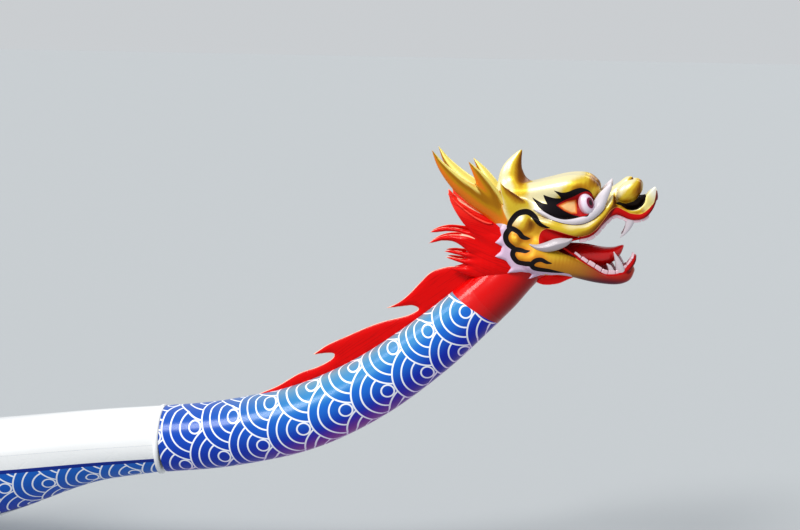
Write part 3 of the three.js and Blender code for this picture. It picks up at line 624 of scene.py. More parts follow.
def skull_paint(x, y, z, depth, normal):
    """Distances to each painted area's edge, below 0 inside it, in millimetres, and the values that place the
    painted light and shade.
    """
    side = np.abs(y)
    front = 400 * (x > CHEEK_FRONT)

    def area(outline, edge):
        """Inside an outline, and further out to the side than edge."""
        return np.maximum(outline_distance(outline, x, z), edge - side)

    def near(rows, flat=1.0):
        return rope(rows, flat)[2](x, side, z)

    swirls = np.min([line_distance(stroke, x, z) for stroke in SWIRLS], axis=0)
    surround = area(np.vstack([through(stroke, 4)[:-1] for stroke in EYE_INK]), 42)
    nostril = np.maximum(outline_distance(through(NOSTRIL, 3, True), x, z), side - 40)
    nostril = np.maximum(nostril, 2.5 - BULB[2](x, side, z))
    in_mouth = np.maximum(outline_distance(MOUTH_INSIDE, x, z), side - half_at(LIP_HALF, x) + 9)
    in_mouth = np.maximum(in_mouth, np.where((z < -100) & (normal[:, 2] < 0.1), 5, -FAR))
    frill = np.maximum(area(through(FRILL_WHITE, 3, True), 56), np.where(normal[:, 2] < -0.92, 3, -FAR))
    lid, roll = np.minimum(near(LID), slab(*FLARE_SLAB)[2](x, side, z)), near(LIP_ROLL)
    horns = np.minimum(near(ANTLER, 0.9), near(PRONG, 0.85)) - np.minimum(near(EAR, 0.5), near(CREST, 0.72))
    socket = np.maximum(area(SOCKET_WHITE, 48), 3 - near(BROW))
    red_area = np.vstack([through(RIM, 3)[:, :2], RED_UNDER])
    upper_red = np.minimum(area(red_area, 30 - front), near(UPPER_LIP) - 1.0)
    inward = np.maximum(-np.sign(y) * normal[:, 1], 0)
    # Painted light and shade: the gold is paler where the surface faces up and browner where it faces forward
    # or down, with the soft spots of SPOTS
    up, down = np.maximum(normal[:, 2], 0), np.minimum(normal[:, 2], 0)
    shade = 0.45 - 0.55 * up - 0.3 * down + normal[:, 0] * (1 + 0.6 * up + 0.8 * down)
    for spot_x, spot_z, size, change in SPOTS:
        shade += change * np.exp(-((x - spot_x) ** 2 + (z - spot_z) ** 2) / (2 * size ** 2))
    return {
        "ink": np.minimum(np.maximum(swirls, 62 - side), surround),
        # for a dark hairline of painted shade in the crease between the lid and the lip roll
        "crease": lid - roll,
        "fold": np.maximum(lid, roll),
        # which way the surface faces, for the antlers' painted light and shade
        "bevel": 0.6 * normal[:, 0] + 0.8 * normal[:, 2] + 0.7 * inward,
        "horn": np.maximum(horns, x + 118),
        "nostril": nostril,
        "opening": area(through(EYE_OPENING, 4), 42),
        "amber": outline_distance(EYE_AMBER, x, z),
        "white": np.minimum(frill, np.maximum(np.minimum(lid - 2.6, socket), lid - roll)),
        "red": np.minimum(np.minimum(upper_red, near(LOWER_LIP) - 1.4), in_mouth),
        "rim": np.maximum(line_distance(RIM, x, z, 3), 40 - side - front),
        # where the red is darkened deep inside the mouth as painted shade
        "throat": np.where(side < 74, x, 100),
        "shade": shade,
        # how deep a hollow is, for painted shade in it
        "hollow": depth,
    }


skull = skull_field().surface()
depth, normal = hollows(*skull)

gold = Finish("gold_paint", "D9BA38", 0.31, metallic=0.25, coat=0.16, coat_roughness=0.2, specular=0.2)
x, _, z = gold.place()
ahead, up = x - HEAD[0], z - HEAD[2]
EDGE = 0.55            # half the width of a painted edge


def inside_of(name):
    return gold.attribute(name).step(EDGE, -EDGE)


shade, bevel, amber = gold.attribute("shade"), gold.attribute("bevel"), gold.attribute("amber")
hollow, ink_away, white_away = gold.attribute("hollow"), gold.attribute("ink"), gold.attribute("white")
cheek = ahead.step(0.02, -0.03) * up.step(0.02, -0.05)
petal = ahead.step(0.25, 0.27) * up.step(0.028, 0.05)
horn = gold.attribute("horn").step(5.0, -5.0)
jaw = (up + ahead * 0.12).step(-0.06, -0.13)
jaw_underside_shade = (up + ahead * 0.13).step(-0.124, -0.149) * ahead.step(0.0, 0.1)
beside_white = white_away.step(10.0, 2.5) * up.step(0.05, 0.06) * ahead.step(0.05, 0.07)
white, red, ink, opening = (inside_of(name) for name in ("white", "red", "ink", "opening"))
nostril = (gold.attribute("nostril") + (gold.noise(130.0, 2.0) - 0.5) * 4.0).step(1.2, -1.2)
crease = gold.attribute("crease").size().step(2.0, 1.0) * gold.attribute("fold").step(7.5, 6.0)
gold.coats(
    # painted highlight on upper faces, then painted shade in light and dark brown on forward and lower faces
    ("ECE5C2", shade.step(0.36, -0.12) * (cheek * -0.85 + 0.8)),
    ("B47C0C", shade.step(0.44, 0.7) * 0.88),
    ("764006", shade.step(0.64, 1.02) * 0.92),
    # painted light: the petal lifted to pale yellow out of the painted shade, paler still toward its tip
    ("FFF2A0", petal * 0.9),
    ("FFFCEC", petal * (ahead + up).step(0.345, 0.39)),
    # the antlers' own brown gold, then painted light and shade by facing: darker brown where faces turn a
    # little forward and up, pale yellow painted highlight where they turn further, orange painted reflection
    # where they turn down and back
    ("B88409", horn * 0.95),
    ("8E5A06", horn * bevel.step(0.02, 0.24) * 0.6),
    ("E07A20", horn * bevel.step(0.08, -0.34) * 0.9),
    ("F0DC78", horn * bevel.step(0.4, 0.68)),
    # the jaw's airbrushed warm brown and red toward the chin, partly its own paint and partly painted shade;
    # dark purple painted shade on its underside
    ("C08428", jaw * ahead.step(-0.12, -0.02) * 0.85),
    ("8C5038", jaw * ahead.step(0.02, 0.18) * 0.9),
    ("B01C1A", jaw * ahead.step(0.08, 0.18) * 0.85),
    ("46203A", jaw_underside_shade * 0.85),
    ("D8952A", cheek * 0.6),
    ("B86E18", ink_away.step(14.0, 0.0) * cheek * 0.8),
    # painted shade in the hollows
    ("7A3C08", hollow.step(0.25, 2.2) * 0.8),
    # plain gold beside the white skin, taking the painted shade off there
    ("DDB444", beside_white * 0.8),
    ("D2CBD2", white),
    ("C9A9C6", white * (up * -1.0).step(-0.01, 0.03) * 0.8),
    # painted shade in the white's hollows
    ("8F7F9C", white * hollow.step(0.1, 1.6) * 0.7),
    ("F0A860", inside_of("rim")),
    ("B80406", red),
    # painted shade on the red where it faces forward, and darker red deep inside the mouth as painted shade
    ("5A0408", red * shade.step(0.7, 1.2) * 0.8),
    ("300204", red * gold.attribute("throat").step(70.0, 10.0)),
    ("1A0906", nostril),
    ("140C12", ink),
    # a dark hairline of painted shade in the crease between the lid and the lip roll
    ("3A2A30", crease * ahead.step(0.155, 0.15)),
    ("A80C14", opening),
    ("E07A30", opening * amber.step(1.5, -1.5)),
    ("F8C98C", opening * amber.step(-1.5, -7.0)))
matt = white.greater(ink).greater(opening).greater(nostril).greater(petal)
gold.level("Metallic", 0.25, 0.0, matt.greater(red))
gold.level("Roughness", 0.31, 0.7, (matt * 0.3).greater(ink * 0.9).greater(cheek * 0.4))
gold.level("Coat Weight", 0.16, 0.05, ink.greater(nostril).greater(red).greater(cheek))
gold.uneven(0.0006, 0.3, 60.0, 2.0)
head_piece("dragon_head", skull, gold.done(),
           ["skull", "lower_jaw", "crest_horn", "antler_port", "antler_starboard", "ear_port",
            "ear_starboard"],
           lambda x, y, z: skull_paint(x, y, z, depth, normal))

# What stands in and on the head

def sheet(grid, closed=False, flip=False):
    """Points and faces through a grid of points by rows; closed joins the ends of each row."""
    rings, sides = grid.shape[:2]
    count = sides if closed else sides - 1
    first = np.arange(rings - 1)[:, None] * sides
    i, j = np.arange(count), (np.arange(count) + 1) % sides
    quad = np.stack(np.broadcast_arrays(first + i, first + sides + i, first + sides + j, first + j), -1)
    quad = quad.reshape(-1, 4)
    return grid.reshape(-1, 3), quad[:, ::-1] if flip else quad


def tube(rings, flip=False):
    """Points and faces of a bar through its rings; they face out where it was swept forward."""
    return sheet(rings, True, flip)


def circle(sides):
    return np.arange(sides) / sides * 2 * math.pi


def unit(vectors):
    return vectors / np.linalg.norm(vectors, axis=1, keepdims=True)


def run_along(spots):
    """The distance along a line at each of its points."""
    return np.concatenate([[0], np.cumsum(np.linalg.norm(np.diff(spots, axis=0), axis=1))])


def swept(rows, flat, sides=20, steps=6):
    """Points and faces of a bar through rows of x, y, z and radius, flat as in rope, closed to a point."""
    line = through(rows, steps)
    spots, radii = line[:, :3], np.maximum(line[:, 3], 0.02)
    along = unit(np.gradient(spots, axis=0))
    across = unit(np.array([0.0, 1.0, 0.0]) - along * along[:, 1:2])
    lift = np.cross(along, across)
    turn = circle(sides)
    rings = (spots[:, None] + lift[:, None] * (radii[:, None] * np.cos(turn))[..., None]
             + across[:, None] * (flat * radii[:, None] * np.sin(turn))[..., None])
    ends = [np.repeat(ring.mean(0)[None], sides, 0)[None] for ring in (rings[0], rings[-1])]
    return tube(np.concatenate([ends[0], rings, ends[1]]))


def joined(parts):
    """Several sets of points and faces as one."""
    points, faces, count = [], [], 0
    for some, more in parts:
        points.append(some)
        faces.append(np.asarray(more) + count)
        count += len(some)
    return np.vstack(points), np.vstack(faces)


def mirrored(points, faces):
    return points * [1, -1, 1], np.asarray(faces)[:, ::-1]


def pair(name, shape, material, node, attributes=None):
    """A piece on each side of the head from the port one, in millimetres from HEAD."""
    for side, made in (("port", shape), ("starboard", mirrored(*shape))):
        head_piece(f"{name}_{side}", made, material, [f"{node}_{side}"], attributes)


def lip_line(rows):
    """A lip's line in fine steps and the distance along it."""
    line = through(rows, 8)
    return line, run_along(line[:, :3])


TOOTH_STATIONS, TOOTH_SIDES = 13, 20
TOOTH_POWER = 5.0      # how square a tooth's section is
TOOTH_GAP = 0.6


def squared(wave):
    """A sine or cosine bent so that a circle becomes a rounded square."""
    return np.sign(wave) * np.abs(wave) ** (2 / TOOTH_POWER)


def tooth(lip, start, width, height, depth, lift, inset):
    """A rounded tooth that follows the lip, lift over its line and inset toward the middle plane."""
    line, distance = lip
    reach = np.sin(np.linspace(-math.pi / 2, math.pi / 2, TOOTH_STATIONS))
    places = start + width / 2 + reach * (width / 2 - TOOTH_GAP)
    spots = np.stack([np.interp(places, distance, line[:, k]) for k in range(3)], -1)
    ahead = unit(np.gradient(spots, axis=0))
    rise = unit(np.array([0.0, 0.0, 1.0]) - ahead * ahead[:, 2:])
    inward = np.cross(ahead, rise)
    full = np.clip(1 - np.abs(reach) ** 8, 0, 1) ** (1 / 5)
    round_in = squared(np.cos(circle(TOOTH_SIDES))) * depth / 2
    round_up = squared(np.sin(circle(TOOTH_SIDES))) * height / 2
    return tube(spots[:, None] + inward[:, None] * (inset + full[:, None] * round_in)[..., None]
                + rise[:, None] * (lift + full[:, None] * round_up)[..., None])


UPPER_FANG = [[224, 40, 32, 9], [226, 42, 23, 13.5], [225, 45, 8, 12.5], [220, 48, -8, 9], [211, 51, -24, 5],
              [200, 52, -37, 1]]
LOWER_FANG = [[206, 34, -158, 15], [204, 38, -140, 14], [199, 42, -120, 11], [191, 44, -99, 6.5],
              [182, 45, -79, 1]]
BACK_FANG = [[180, 42, -158, 9], [178, 44, -140, 9], [172, 45, -124, 6.5], [163, 46, -114, 1.5]]
TUSK = [[-57, -57], [-44, -58], [-29, -57], [-6, -49], [15, -40], [36, -37], [54, -38], [66, -38], [66, -43],
        [58, -54], [44, -64], [24, -73], [-3, -79], [-29, -76], [-45, -68]]
TONGUE = [[0, 0, -98, 33], [45, 0, -97, 35], [95, 0, -98, 35], [135, 0, -99, 30], [164, 0, -95, 24],
          [186, 0, -85, 16], [200, 0, -73, 8], [208, 0, -65, 2]]
TONGUE_GROOVE = [[60, 0, -58, 4], [120, 0, -64, 6], [180, 0, -60, 5]]
EYE = np.array([102.0, 82.0, 58.0])
EYE_RADII = np.array([23.0, 25.0, 31.0])
EYE_LEAN = 0.17
PUPIL = np.array([0.62, 0.75, 0.22])

tooth_white = Finish("tooth_white", "CBC2C9", 0.22, coat=0.4).clouds("BF9CAA", 0.3, 0.05, 0.3, 14.0).done()
small_white = Finish("small_tooth_white", "E6C4CE", 0.25, coat=0.3).done()
# painted shade: the tusk takes a darker copy of the teeth's white, since it faces the lights more
tusk_shaded_white = Finish("tusk_shaded_white", "B4ACB2", 0.34, coat=0.12, specular=0.3).done()

pair("upper_fang_bone", swept(UPPER_FANG, 0.62), tooth_white, "upper_fang")
fangs = [swept(LOWER_FANG, 0.66), swept(BACK_FANG, 0.7)]
pair("lower_fang_bone", joined(fangs), tooth_white, "lower_fang")

tusk_field = Field((-64, 90, -86), (74, 134, -30), 1.5).add(slab(through(TUSK, 3, True), 108, 14, 17))
points, faces = tusk_field.surface()
port = points[:, 1] > 0
number = np.cumsum(port) - 1
tusk_shape = points[port], number[faces[port[faces].all(1)]]
pair("tusk_bone", tusk_shape, tusk_shaded_white, "tusk")

LOWER_HEIGHTS = (11, 14, 17, 17, 17, 17, 16, 14, 12, 11)
LOWER_START, FULL_HEIGHT, FRONT_HEIGHT = 40.0, 17, 12
UPPER_START, UPPER_FRONT, UPPER_END = 34, 215, 262
UPPER_WIDTH, UPPER_HALF = 23.5, 12
teeth = []
lower_lip, upper_lip = lip_line(LOWER_LIP), lip_line(UPPER_LIP)
middle = np.interp(0, -lower_lip[0][-12:, 1], lower_lip[1][-12:])
width = (middle - LOWER_START) / len(LOWER_HEIGHTS)
for k, height in enumerate(LOWER_HEIGHTS):
    teeth.append(tooth(lower_lip, LOWER_START + k * width, width, height, 8, 7 * height / FULL_HEIGHT, 4))
for start in np.arange(UPPER_START, UPPER_END, UPPER_WIDTH):
    radius = np.interp(start + UPPER_HALF, upper_lip[1], upper_lip[0][:, 3])
    height = FULL_HEIGHT if start < UPPER_FRONT else FRONT_HEIGHT
    teeth.append(tooth(upper_lip, start, UPPER_WIDTH, height, 7, -radius - 1, 3))
teeth += [mirrored(*one) for one in teeth]
head_piece("small_teeth", joined(teeth), small_white)

tongue_field = Field((-40, 0, -140), (214, 62, -56), 2.4)
tongue_field.add(rope(TONGUE, 1.6)).cut(rope(TONGUE_GROOVE), 10)
flesh = Finish("tongue_red", "C4060A", 0.3, coat=0.4)
# painted shade: the tongue darker toward the back of the mouth
flesh.paint("4A0206", (flesh.place()[0] - HEAD[0]).step(0.1, 0.0)).uneven(0.0012, 0.4, 55.0)
head_piece("tongue_flesh", tongue_field.surface(), flesh.done(), ["tongue"])


def iris_distance(x, y, z):
    """How far each point of the eyeball lies from the iris's middle, over the surface."""
    out = np.stack([x, np.abs(y), z], -1) - EYE
    out[:, 0] += EYE_LEAN * out[:, 2]
    out /= EYE_RADII
    aim = PUPIL / np.linalg.norm(PUPIL)
    return {"iris": EYE_RADII[1] * np.arccos(np.clip(out @ aim, -1, 1))}


def globe(radii, lean=0.0, steps=28):
    """An ellipsoid whose upper end leans back."""
    rise = np.linspace(-math.pi / 2, math.pi / 2, steps + 1)[:, None]
    turn = circle(2 * steps)
    grid = np.stack([np.cos(rise) * np.cos(turn), np.cos(rise) * np.sin(turn), np.sin(rise) + 0 * turn], -1)
    points, faces = tube(grid * radii, flip=True)
    points[:, 0] -= lean * points[:, 2]
    return points, faces


eye = Finish("eye_white", "DCD0DE", 0.14, coat=0.4, coat_roughness=0.03, specular=0.25)
iris = eye.attribute("iris")
eye.coats(
    ("C98A9C", iris.step(26.0, 40.0) * 0.8),
    ("D79CBC", iris.step(17.5, 13.0) * 0.9),
    ("6A1634", iris.step(13.4, 12.8)),
    ("8E2A4C", iris.step(12.0, 11.0) * iris.step(7.4, 8.6) * 0.6),
    ("2A0814", iris.step(6.6, 6.0)))
points, faces = globe(EYE_RADII, EYE_LEAN)
pair("eyeball", (points + EYE, faces), eye.done(), "eye", iris_distance)

# The neck, the collar, the mane and the fin, from the same centre lines as their solids

NECK_ROWS = [[15, 1, 99], [165, 19, 99], [290, 44, 99], [402, 74, 99], [518, 121, 97], [655, 199, 93],
             [803, 311, 87], [932, 426, 78.5], [961, 453, 77]]
COLLAR_ROWS = [[956, 448, 77], [965, 457, 76.5], [1000, 491, 74.5], [1045, 537, 69], [1100, 592, 64]]
# The line on the neck where the red of the collar begins, from above to below
COLLAR_EDGE = np.array([[872, 472], [999, 390]]) * MM
TAIL_ROWS = [[15, 1, 99], [200, 22, 97], [400, 76, 92], [600, 172, 84], [780, 316, 73], [915, 492, 60],
             [1000, 680, 46], [1040, 850, 32]]
# Middles of the scales' discs along one row of the painted pattern, from the bow seam
SCALE_ROW = [[-150, -125], [-30, -95], [92, -62], [211, -28], [328, 12], [448, 67], [572, 128], [693, 188],
             [806, 244], [911, 303], [1020, 362], [1130, 422]]
# The same on the tail, from the stern seam
TAIL_SCALE_ROW = [[-150, -70], [-25, -72], [100, -62], [222, -36], [342, 2], [456, 58], [560, 128],
                  [655, 210], [738, 304], [805, 409], [862, 521], [905, 639], [930, 762], [945, 886]]
SCALE_PITCH = 0.125
SCALE_SPACING = 0.107
SCALE_RADIUS = 0.104
SCALE_STEPS = 12
STALK_SIDES = 96
ROUND_PART = math.radians(30)      # past this, near the back and the belly, the pattern goes round the stalk
BEHIND_ALL = 9.0                   # moves a disc that doesn't reach a point behind every other
RING_RADII = (0.018, 0.046, 0.075, 0.1015)
RING_WIDTH, RING_EDGE = 0.0024, 0.0005
BOW_SEAM = np.array([SEAM_X, 0, SEAM_Z])
STERN_SEAM = np.array([-SEAM_X, 0, SEAM_Z])


def stalk(rows, steps=12):
    """Rings of a round stalk in the plane of X and Z, with the distance along, the turn from the belly, the
    radius, and a function for the places of heights over its middle line."""
    line = through(rows, steps) * MM
    spots, radius = line[:, :2], line[:, 2:]
    along = unit(np.gradient(spots, axis=0))
    turn = circle(STALK_SIDES)

    def places_at(height):
        return spots[:, :1] - along[:, 1:] * height, spots[:, 1:] + along[:, :1] * height

    x, z = places_at(-np.cos(turn) * radius)
    return np.stack([x, np.sin(turn) * radius, z], -1), run_along(spots)[:, None], turn, radius, places_at


def flow_places(x, z, row):
    """Place along a row of the pattern and distance to its left, for points of the plane of X and Z."""
    line = through(row, SCALE_STEPS) * MM
    best, along, aside = np.full(x.shape, np.inf), np.zeros(x.shape), np.zeros(x.shape)
    for i, (a, b) in enumerate(zip(line, line[1:])):
        span = b - a
        length = np.hypot(*span)
        t = ((x - a[0]) * span[0] + (z - a[1]) * span[1]) / length ** 2
        held = np.clip(t, 0, 1)
        away = np.hypot(x - a[0] - held * span[0], z - a[1] - held * span[1])
        side = (span[0] * (z - a[1]) - span[1] * (x - a[0])) / length
        nearer = away < best
        best = np.where(nearer, away, best)
        along = np.where(nearer, (i + t) / SCALE_STEPS * SCALE_PITCH, along)
        aside = np.where(nearer, side, aside)
    return along, aside


def unrolled(turn, radius):
    """Height on the stalk's side that the flat pattern is laid on, from the turn from the belly."""
    folded = np.where(turn > math.pi, 2 * math.pi - turn, turn)
    held = np.clip(folded, ROUND_PART, math.pi - ROUND_PART)
    return radius * (-np.cos(held) + folded - held)


def wave_stalk(name, rows, base, node, row, facing):
    """The neck or the tail with the painted pattern's places; facing is 1 at the bow and -1 at the stern."""
    points, distance, turn, radius, places_at = stalk(rows)
    height = unrolled(turn, radius)
    along, aside = flow_places(*places_at(height), row)
    start, across = COLLAR_EDGE[0], COLLAR_EDGE[1] - COLLAR_EDGE[0]
    over = across[0] * (points[..., 2] - start[1]) - across[1] * (points[..., 0] - start[0])
    over = over / np.hypot(*across) if rows is NECK_ROWS else -1
    values = {"along": along, "aside": aside, "height": height / radius, "reach": distance, "over": over}
    values = {key: np.broadcast_to(value, height.shape).ravel() for key, value in values.items()}
    points, faces = tube(points)
    made = mesh_object(name, points * [facing, facing, 1] + base, faces, values)
    piece(made, neck_paint, [node])


def scale_rings(along, aside):
    """Distance from the middle of the foremost disc over a point, for overlapping ringed scales."""
    row = (aside / SCALE_SPACING).floor()
    found = []
    for step in (0, 1):
        number = row + step
        off = (number * 0.5 - (number * 0.5).floor()) * SCALE_PITCH
        apart = aside - number * SCALE_SPACING
        reach = (apart * apart * -1.0 + SCALE_RADIUS ** 2).root()
        place = ((along + reach - off) / SCALE_PITCH).floor() * SCALE_PITCH + off
        place = place - apart.size().above(SCALE_RADIUS) * BEHIND_ALL
        gap = along - place
        found.append((place, (gap * gap + apart * apart).root()))
    (middle, far), (other, away) = found
    return far + (away - far) * other.above(middle)


def wave_paint(name):
    """Blue and violet waves with white rings, by height from the belly at -1 to the back at 1."""
    finish = Finish(name, "1A68C4", 0.3, coat=0.2, coat_roughness=0.16, specular=0.2)
    height, reach = finish.attribute("height"), finish.attribute("reach")
    violet = height.step(-0.35, -0.95) * reach.step(0.85, 0.55) * reach.step(0.2, 0.42)
    away = scale_rings(finish.attribute("along"), finish.attribute("aside"))
    outer, inner = RING_WIDTH + RING_EDGE, RING_WIDTH - RING_EDGE
    line, *others = ((away - radius).size().step(outer, inner) for radius in RING_RADII)
    for ring in others:
        line = line.greater(ring)
    finish.coats(
        # deeper blue below the middle, then violet toward the belly, the violet partly a painted reflection
        ("0C2AB4", height.step(0.1, -0.6)),
        ("3A1A98", height.step(-0.6, -0.95) * 0.8),
        ("8B1C74", height.step(-0.95, -1.35) * 0.6),
        ("8A2C98", violet * 0.95),
        # lighter azure above, and pale grey-blue on the back as a painted highlight
        ("2A82BC", height.step(0.1, 0.55)),
        ("7297AC", height.step(0.55, 1.05)),
        ("0E3FB0", reach.step(0.5, 0.12) * 0.75),
        (finish.mix("F3F4FB", "D9B7EE", height.step(-0.5, -1.2)), line))
    return finish.bump(line, 0.0004, 0.5)


def shaded_belly(finish, share=None):
    """Deepens the red toward the belly as painted shade, where share is 1."""
    shade = finish.attribute("height").step(-0.1, -0.9)
    return finish.paint("8E0208", (shade * share if share else shade) * 0.85)


neck_finish = wave_paint("wave_paint")
over_edge = neck_finish.attribute("over").step(-0.0006, 0.0006)
# the neck's red past the collar's edge, darker toward the belly as painted shade
shaded_belly(neck_finish.paint("D00202", over_edge), over_edge)
neck_paint = neck_finish.level("Coat Weight", 0.25, 0.55, over_edge).done()
wave_stalk("neck_waves", NECK_ROWS, BOW_SEAM, "neck", SCALE_ROW, 1)

# Red lacquer, with fine strokes along the flames; its paler edges, ridge and upper flames are painted
# highlights and painted light, and its darker hollows painted shade
lacquer = Finish("red_lacquer", "D20202", 0.34, coat=0.15, coat_roughness=0.12, specular=0.12)
x, y, z = lacquer.place()
strokes = lacquer.point(lacquer.attribute("flow") * 1.6, y * 4.0, lacquer.attribute("reach") * 0.012)
grain = lacquer.noise(1.0, 1.0, strokes)
lacquer.coats(
    # painted shade in the hollows
    ("8A0004", lacquer.attribute("hollow").step(0.2, 2.5) * 0.7),
    # painted light on the mane's upper flames
    ("FF4434", z.step(1.08, 1.16) * x.step(0.0, 1.0) * 0.7),
    # painted highlights along the ridge and on the flames' edges and streaks
    ("FF5E4E", lacquer.attribute("ridge").step(0.8, -0.6) * 0.9),
    ("FFCDB6", lacquer.attribute("edge").step(2.8, 1.5) * 0.9),
    ("A00003", (grain - 0.5).step(0.05, 0.14) * 0.35))
red_lacquer = lacquer.bump(grain, 0.0008, 0.35).done()

points, _, turn, radius, _ = stalk(COLLAR_ROWS, 16)
belly_share = np.broadcast_to(-np.cos(turn), points.shape[:2]).ravel()
points, faces = tube(points)
collar = mesh_object("collar_gloss", points + BOW_SEAM, faces, {"height": belly_share})
# the collar's red, darker toward the belly as painted shade
collar_lacquer = Finish("collar_lacquer", "D00202", 0.3, coat=0.55, coat_roughness=0.12, specular=0.1)
piece(collar, shaded_belly(collar_lacquer).done(), ["collar"])
FIN = [[938, 560], [888, 549], [850, 546], [805, 530], [772, 498], [738, 461], [705, 434], [660, 414],
       [660, 414], [722, 424], [752, 427], [768, 418], [745, 403], [720, 394], [663, 378], [613, 358],
       [563, 334], [505, 306], [478, 288], [452, 269], [452, 269], [490, 276], [518, 277], [518, 266],
       [497, 250], [470, 236], [415, 214], [355, 176], [300, 150], [262, 126], [228, 98], [300, 60],
       [402, 74], [518, 121], [655, 199], [799, 317], [930, 430], [990, 480], [980, 540]]
FLAMES = [
    # middle place from the middle plane at the root and at the tip, then the outline from HEAD
    (66, 56, [[-296, 92], [-296, 92], [-267, 66], [-230, 41], [-199, 24], [-170, 7], [-130, -14], [-110, -60],
              [-160, -80], [-222, -38], [-250, -9], [-267, 14], [-281, 37], [-291, 60]]),
    (68, 26, [[-354, -43], [-354, -43], [-329, -30], [-298, -23], [-264, -25], [-225, -30], [-150, -30],
              [-150, -70], [-225, -52], [-262, -38], [-296, -36], [-326, -40]]),
    (64, 24, [[-356, -75], [-356, -75], [-328, -56], [-297, -46], [-266, -44], [-220, -40], [-140, -50],
              [-150, -105], [-222, -98], [-245, -84], [-276, -66], [-310, -64], [-334, -70]]),
    (62, 24, [[-311, -95], [-311, -95], [-284, -90], [-258, -92], [-226, -94], [-150, -80], [-150, -120],
              [-224, -112], [-256, -106], [-282, -101]]),
    (58, 22, [[-306, -112], [-306, -112], [-284, -111], [-257, -114], [-226, -112], [-150, -100],
              [-150, -150], [-220, -136], [-257, -127], [-282, -120]]),
    (54, 24, [[-286, -146], [-286, -146], [-262, -138], [-232, -130], [-180, -118], [-110, -130], [-90, -176],
              [-150, -178], [-220, -168], [-262, -156]]),
]
# The raised ridge along the top flame, with a painted highlight along it: x, z and half width
RIDGE = [[-293, 76, 0.6], [-271, 54, 1.2], [-241, 29, 1.6], [-212, 10, 2], [-182, -3, 2.2], [-165, -5, 0.8]]
# Painted highlights in strokes along the flames' upper edges
STREAKS = [[[-268, 64, 0.3], [-260, 57, 2.6], [-248, 50, 3.2], [-235, 42, 2.8], [-220, 33, 2],
            [-203, 24, 1.2], [-192, 18, 0.2]],
           [[-346, -62, 0.4], [-326, -52, 1.4], [-297, -45, 1.8], [-266, -43, 2.2], [-238, -45, 2.2],
            [-216, -52, 0.6]]]
# the flames' edges carry painted highlights, all but the lowest flame's
EDGED_FLAMES = 5       # the lowest flame has no paler edge
BLADE_MARGIN, BLADE_SIDE, BLADE_FLOW = 8, 5, 0.16


def flame_middle(root, tip, outline):
    start, end = max(p[0] for p in outline), min(p[0] for p in outline)
    return lambda x, z: root + (tip - root) * np.clip((x - start) / (end - start), 0, 1)


mane_field = Field((-372, 0, -300), (60, 112, 104), 2.8)
mane_field.add(rope([[-50, 0, -40, 84], [-110, 0, -55, 82], [-155, 0, -66, 70], [-188, 0, -80, 42]]))
mane_field.add(rope([[14, 0, -108, 34], [-28, 0, -112, 52], [-70, 0, -118, 64], [-120, 0, -122, 74],
                     [-170, 0, -120, 68], [-205, 0, -120, 46]]), 20)
smooth_flames = [(root, tip, through(outline, 4, True)) for root, tip, outline in FLAMES]
for root, tip, outline in smooth_flames:
    mane_field.add(slab(outline, flame_middle(root, tip, outline), 11, 15), 7)
mane_field.add(rope([[x, 75 - 0.02 * abs(x + 146), z, half + 2] for x, z, half in RIDGE]), 3)


def mane_values(x, y, z, depth):
    side = np.abs(y)
    # distances for the painted highlights on the streaks, the flames' edges and the ridge
    streak = np.min([line_distance(stroke, x, z) for stroke in STREAKS], axis=0)
    edged = smooth_flames[:EDGED_FLAMES]
    edges = np.min([np.abs(outline_distance(outline, x, z)) for _, _, outline in edged], axis=0)
    edges += 1.1 + np.clip((x + 256) * 0.16, 0, FAR)
    return {"hollow": depth, "edge": np.minimum(edges, streak + 1.6), "ridge": line_distance(RIDGE, x, z),
            "flow": (z + 0.25 * x + 0.3 * side) * 0.2, "reach": -x}


mane = mane_field.surface()
depth, _ = hollows(*mane)
head_piece("mane_flames", mane, red_lacquer, ["cheek_mane_port", "cheek_mane_starboard"],
           lambda x, y, z: mane_values(x, y, z, depth))


def blade(name, node, outline, base, facing, half, crown, step, flow_turn, box=None, material=red_lacquer):
    """A flat flame from its outline, measured from a base; facing is 1 forward and -1 aft."""
    low, high = box or (outline.min(0) - BLADE_MARGIN, outline.max(0) + BLADE_MARGIN)
    field = Field((low[0], 0, low[1]), (high[0], half + BLADE_SIDE, high[1]), step)
    points, faces = field.add(slab(outline, 0, half, crown)).surface()
    x, z = points[:, 0], points[:, 2]
    values = {"hollow": 0 * x, "edge": np.abs(outline_distance(outline, x, z)), "ridge": 0 * x + FAR,
              "flow": (z * math.cos(flow_turn) - x * math.sin(flow_turn)) * BLADE_FLOW, "reach": x}
    made = mesh_object(name, base + points * [facing * MM, facing * MM, MM], faces, values)
    piece(made, material, [node])


blade("mane_fin_blade", "mane_fin", through(FIN, 5, True), BOW_SEAM, 1, 6.2, 16, 2.6, 0.62,
      ((215, 50), (1000, 580)))
CHIN = [[-66, -140], [-50, -172], [-20, -187], [22, -183], [52, -170], [80, -157], [80, -157], [44, -150],
        [4, -146], [-30, -128]]
# painted light: the chin flame's red is brighter than the other lacquer as it sits in the jaw's shade, with a
# painted highlight on its edge
chin_brightened_lacquer = Finish("chin_brightened_lacquer", "FF0C0A", 0.34, coat=0.15, specular=0.12)
chin_brightened_lacquer.paint("FFA08C", chin_brightened_lacquer.attribute("edge").step(1.8, 0.8) * 0.5)
blade("chin_flame_blade", "chin_flame", through(CHIN, 4, True), HEAD, 1, 8.5, 14, 2.0, 0.0,
      ((-74, -194), (88, -120)), chin_brightened_lacquer.done())

# Hull, decks and rails, smooth through the same rows as their solids

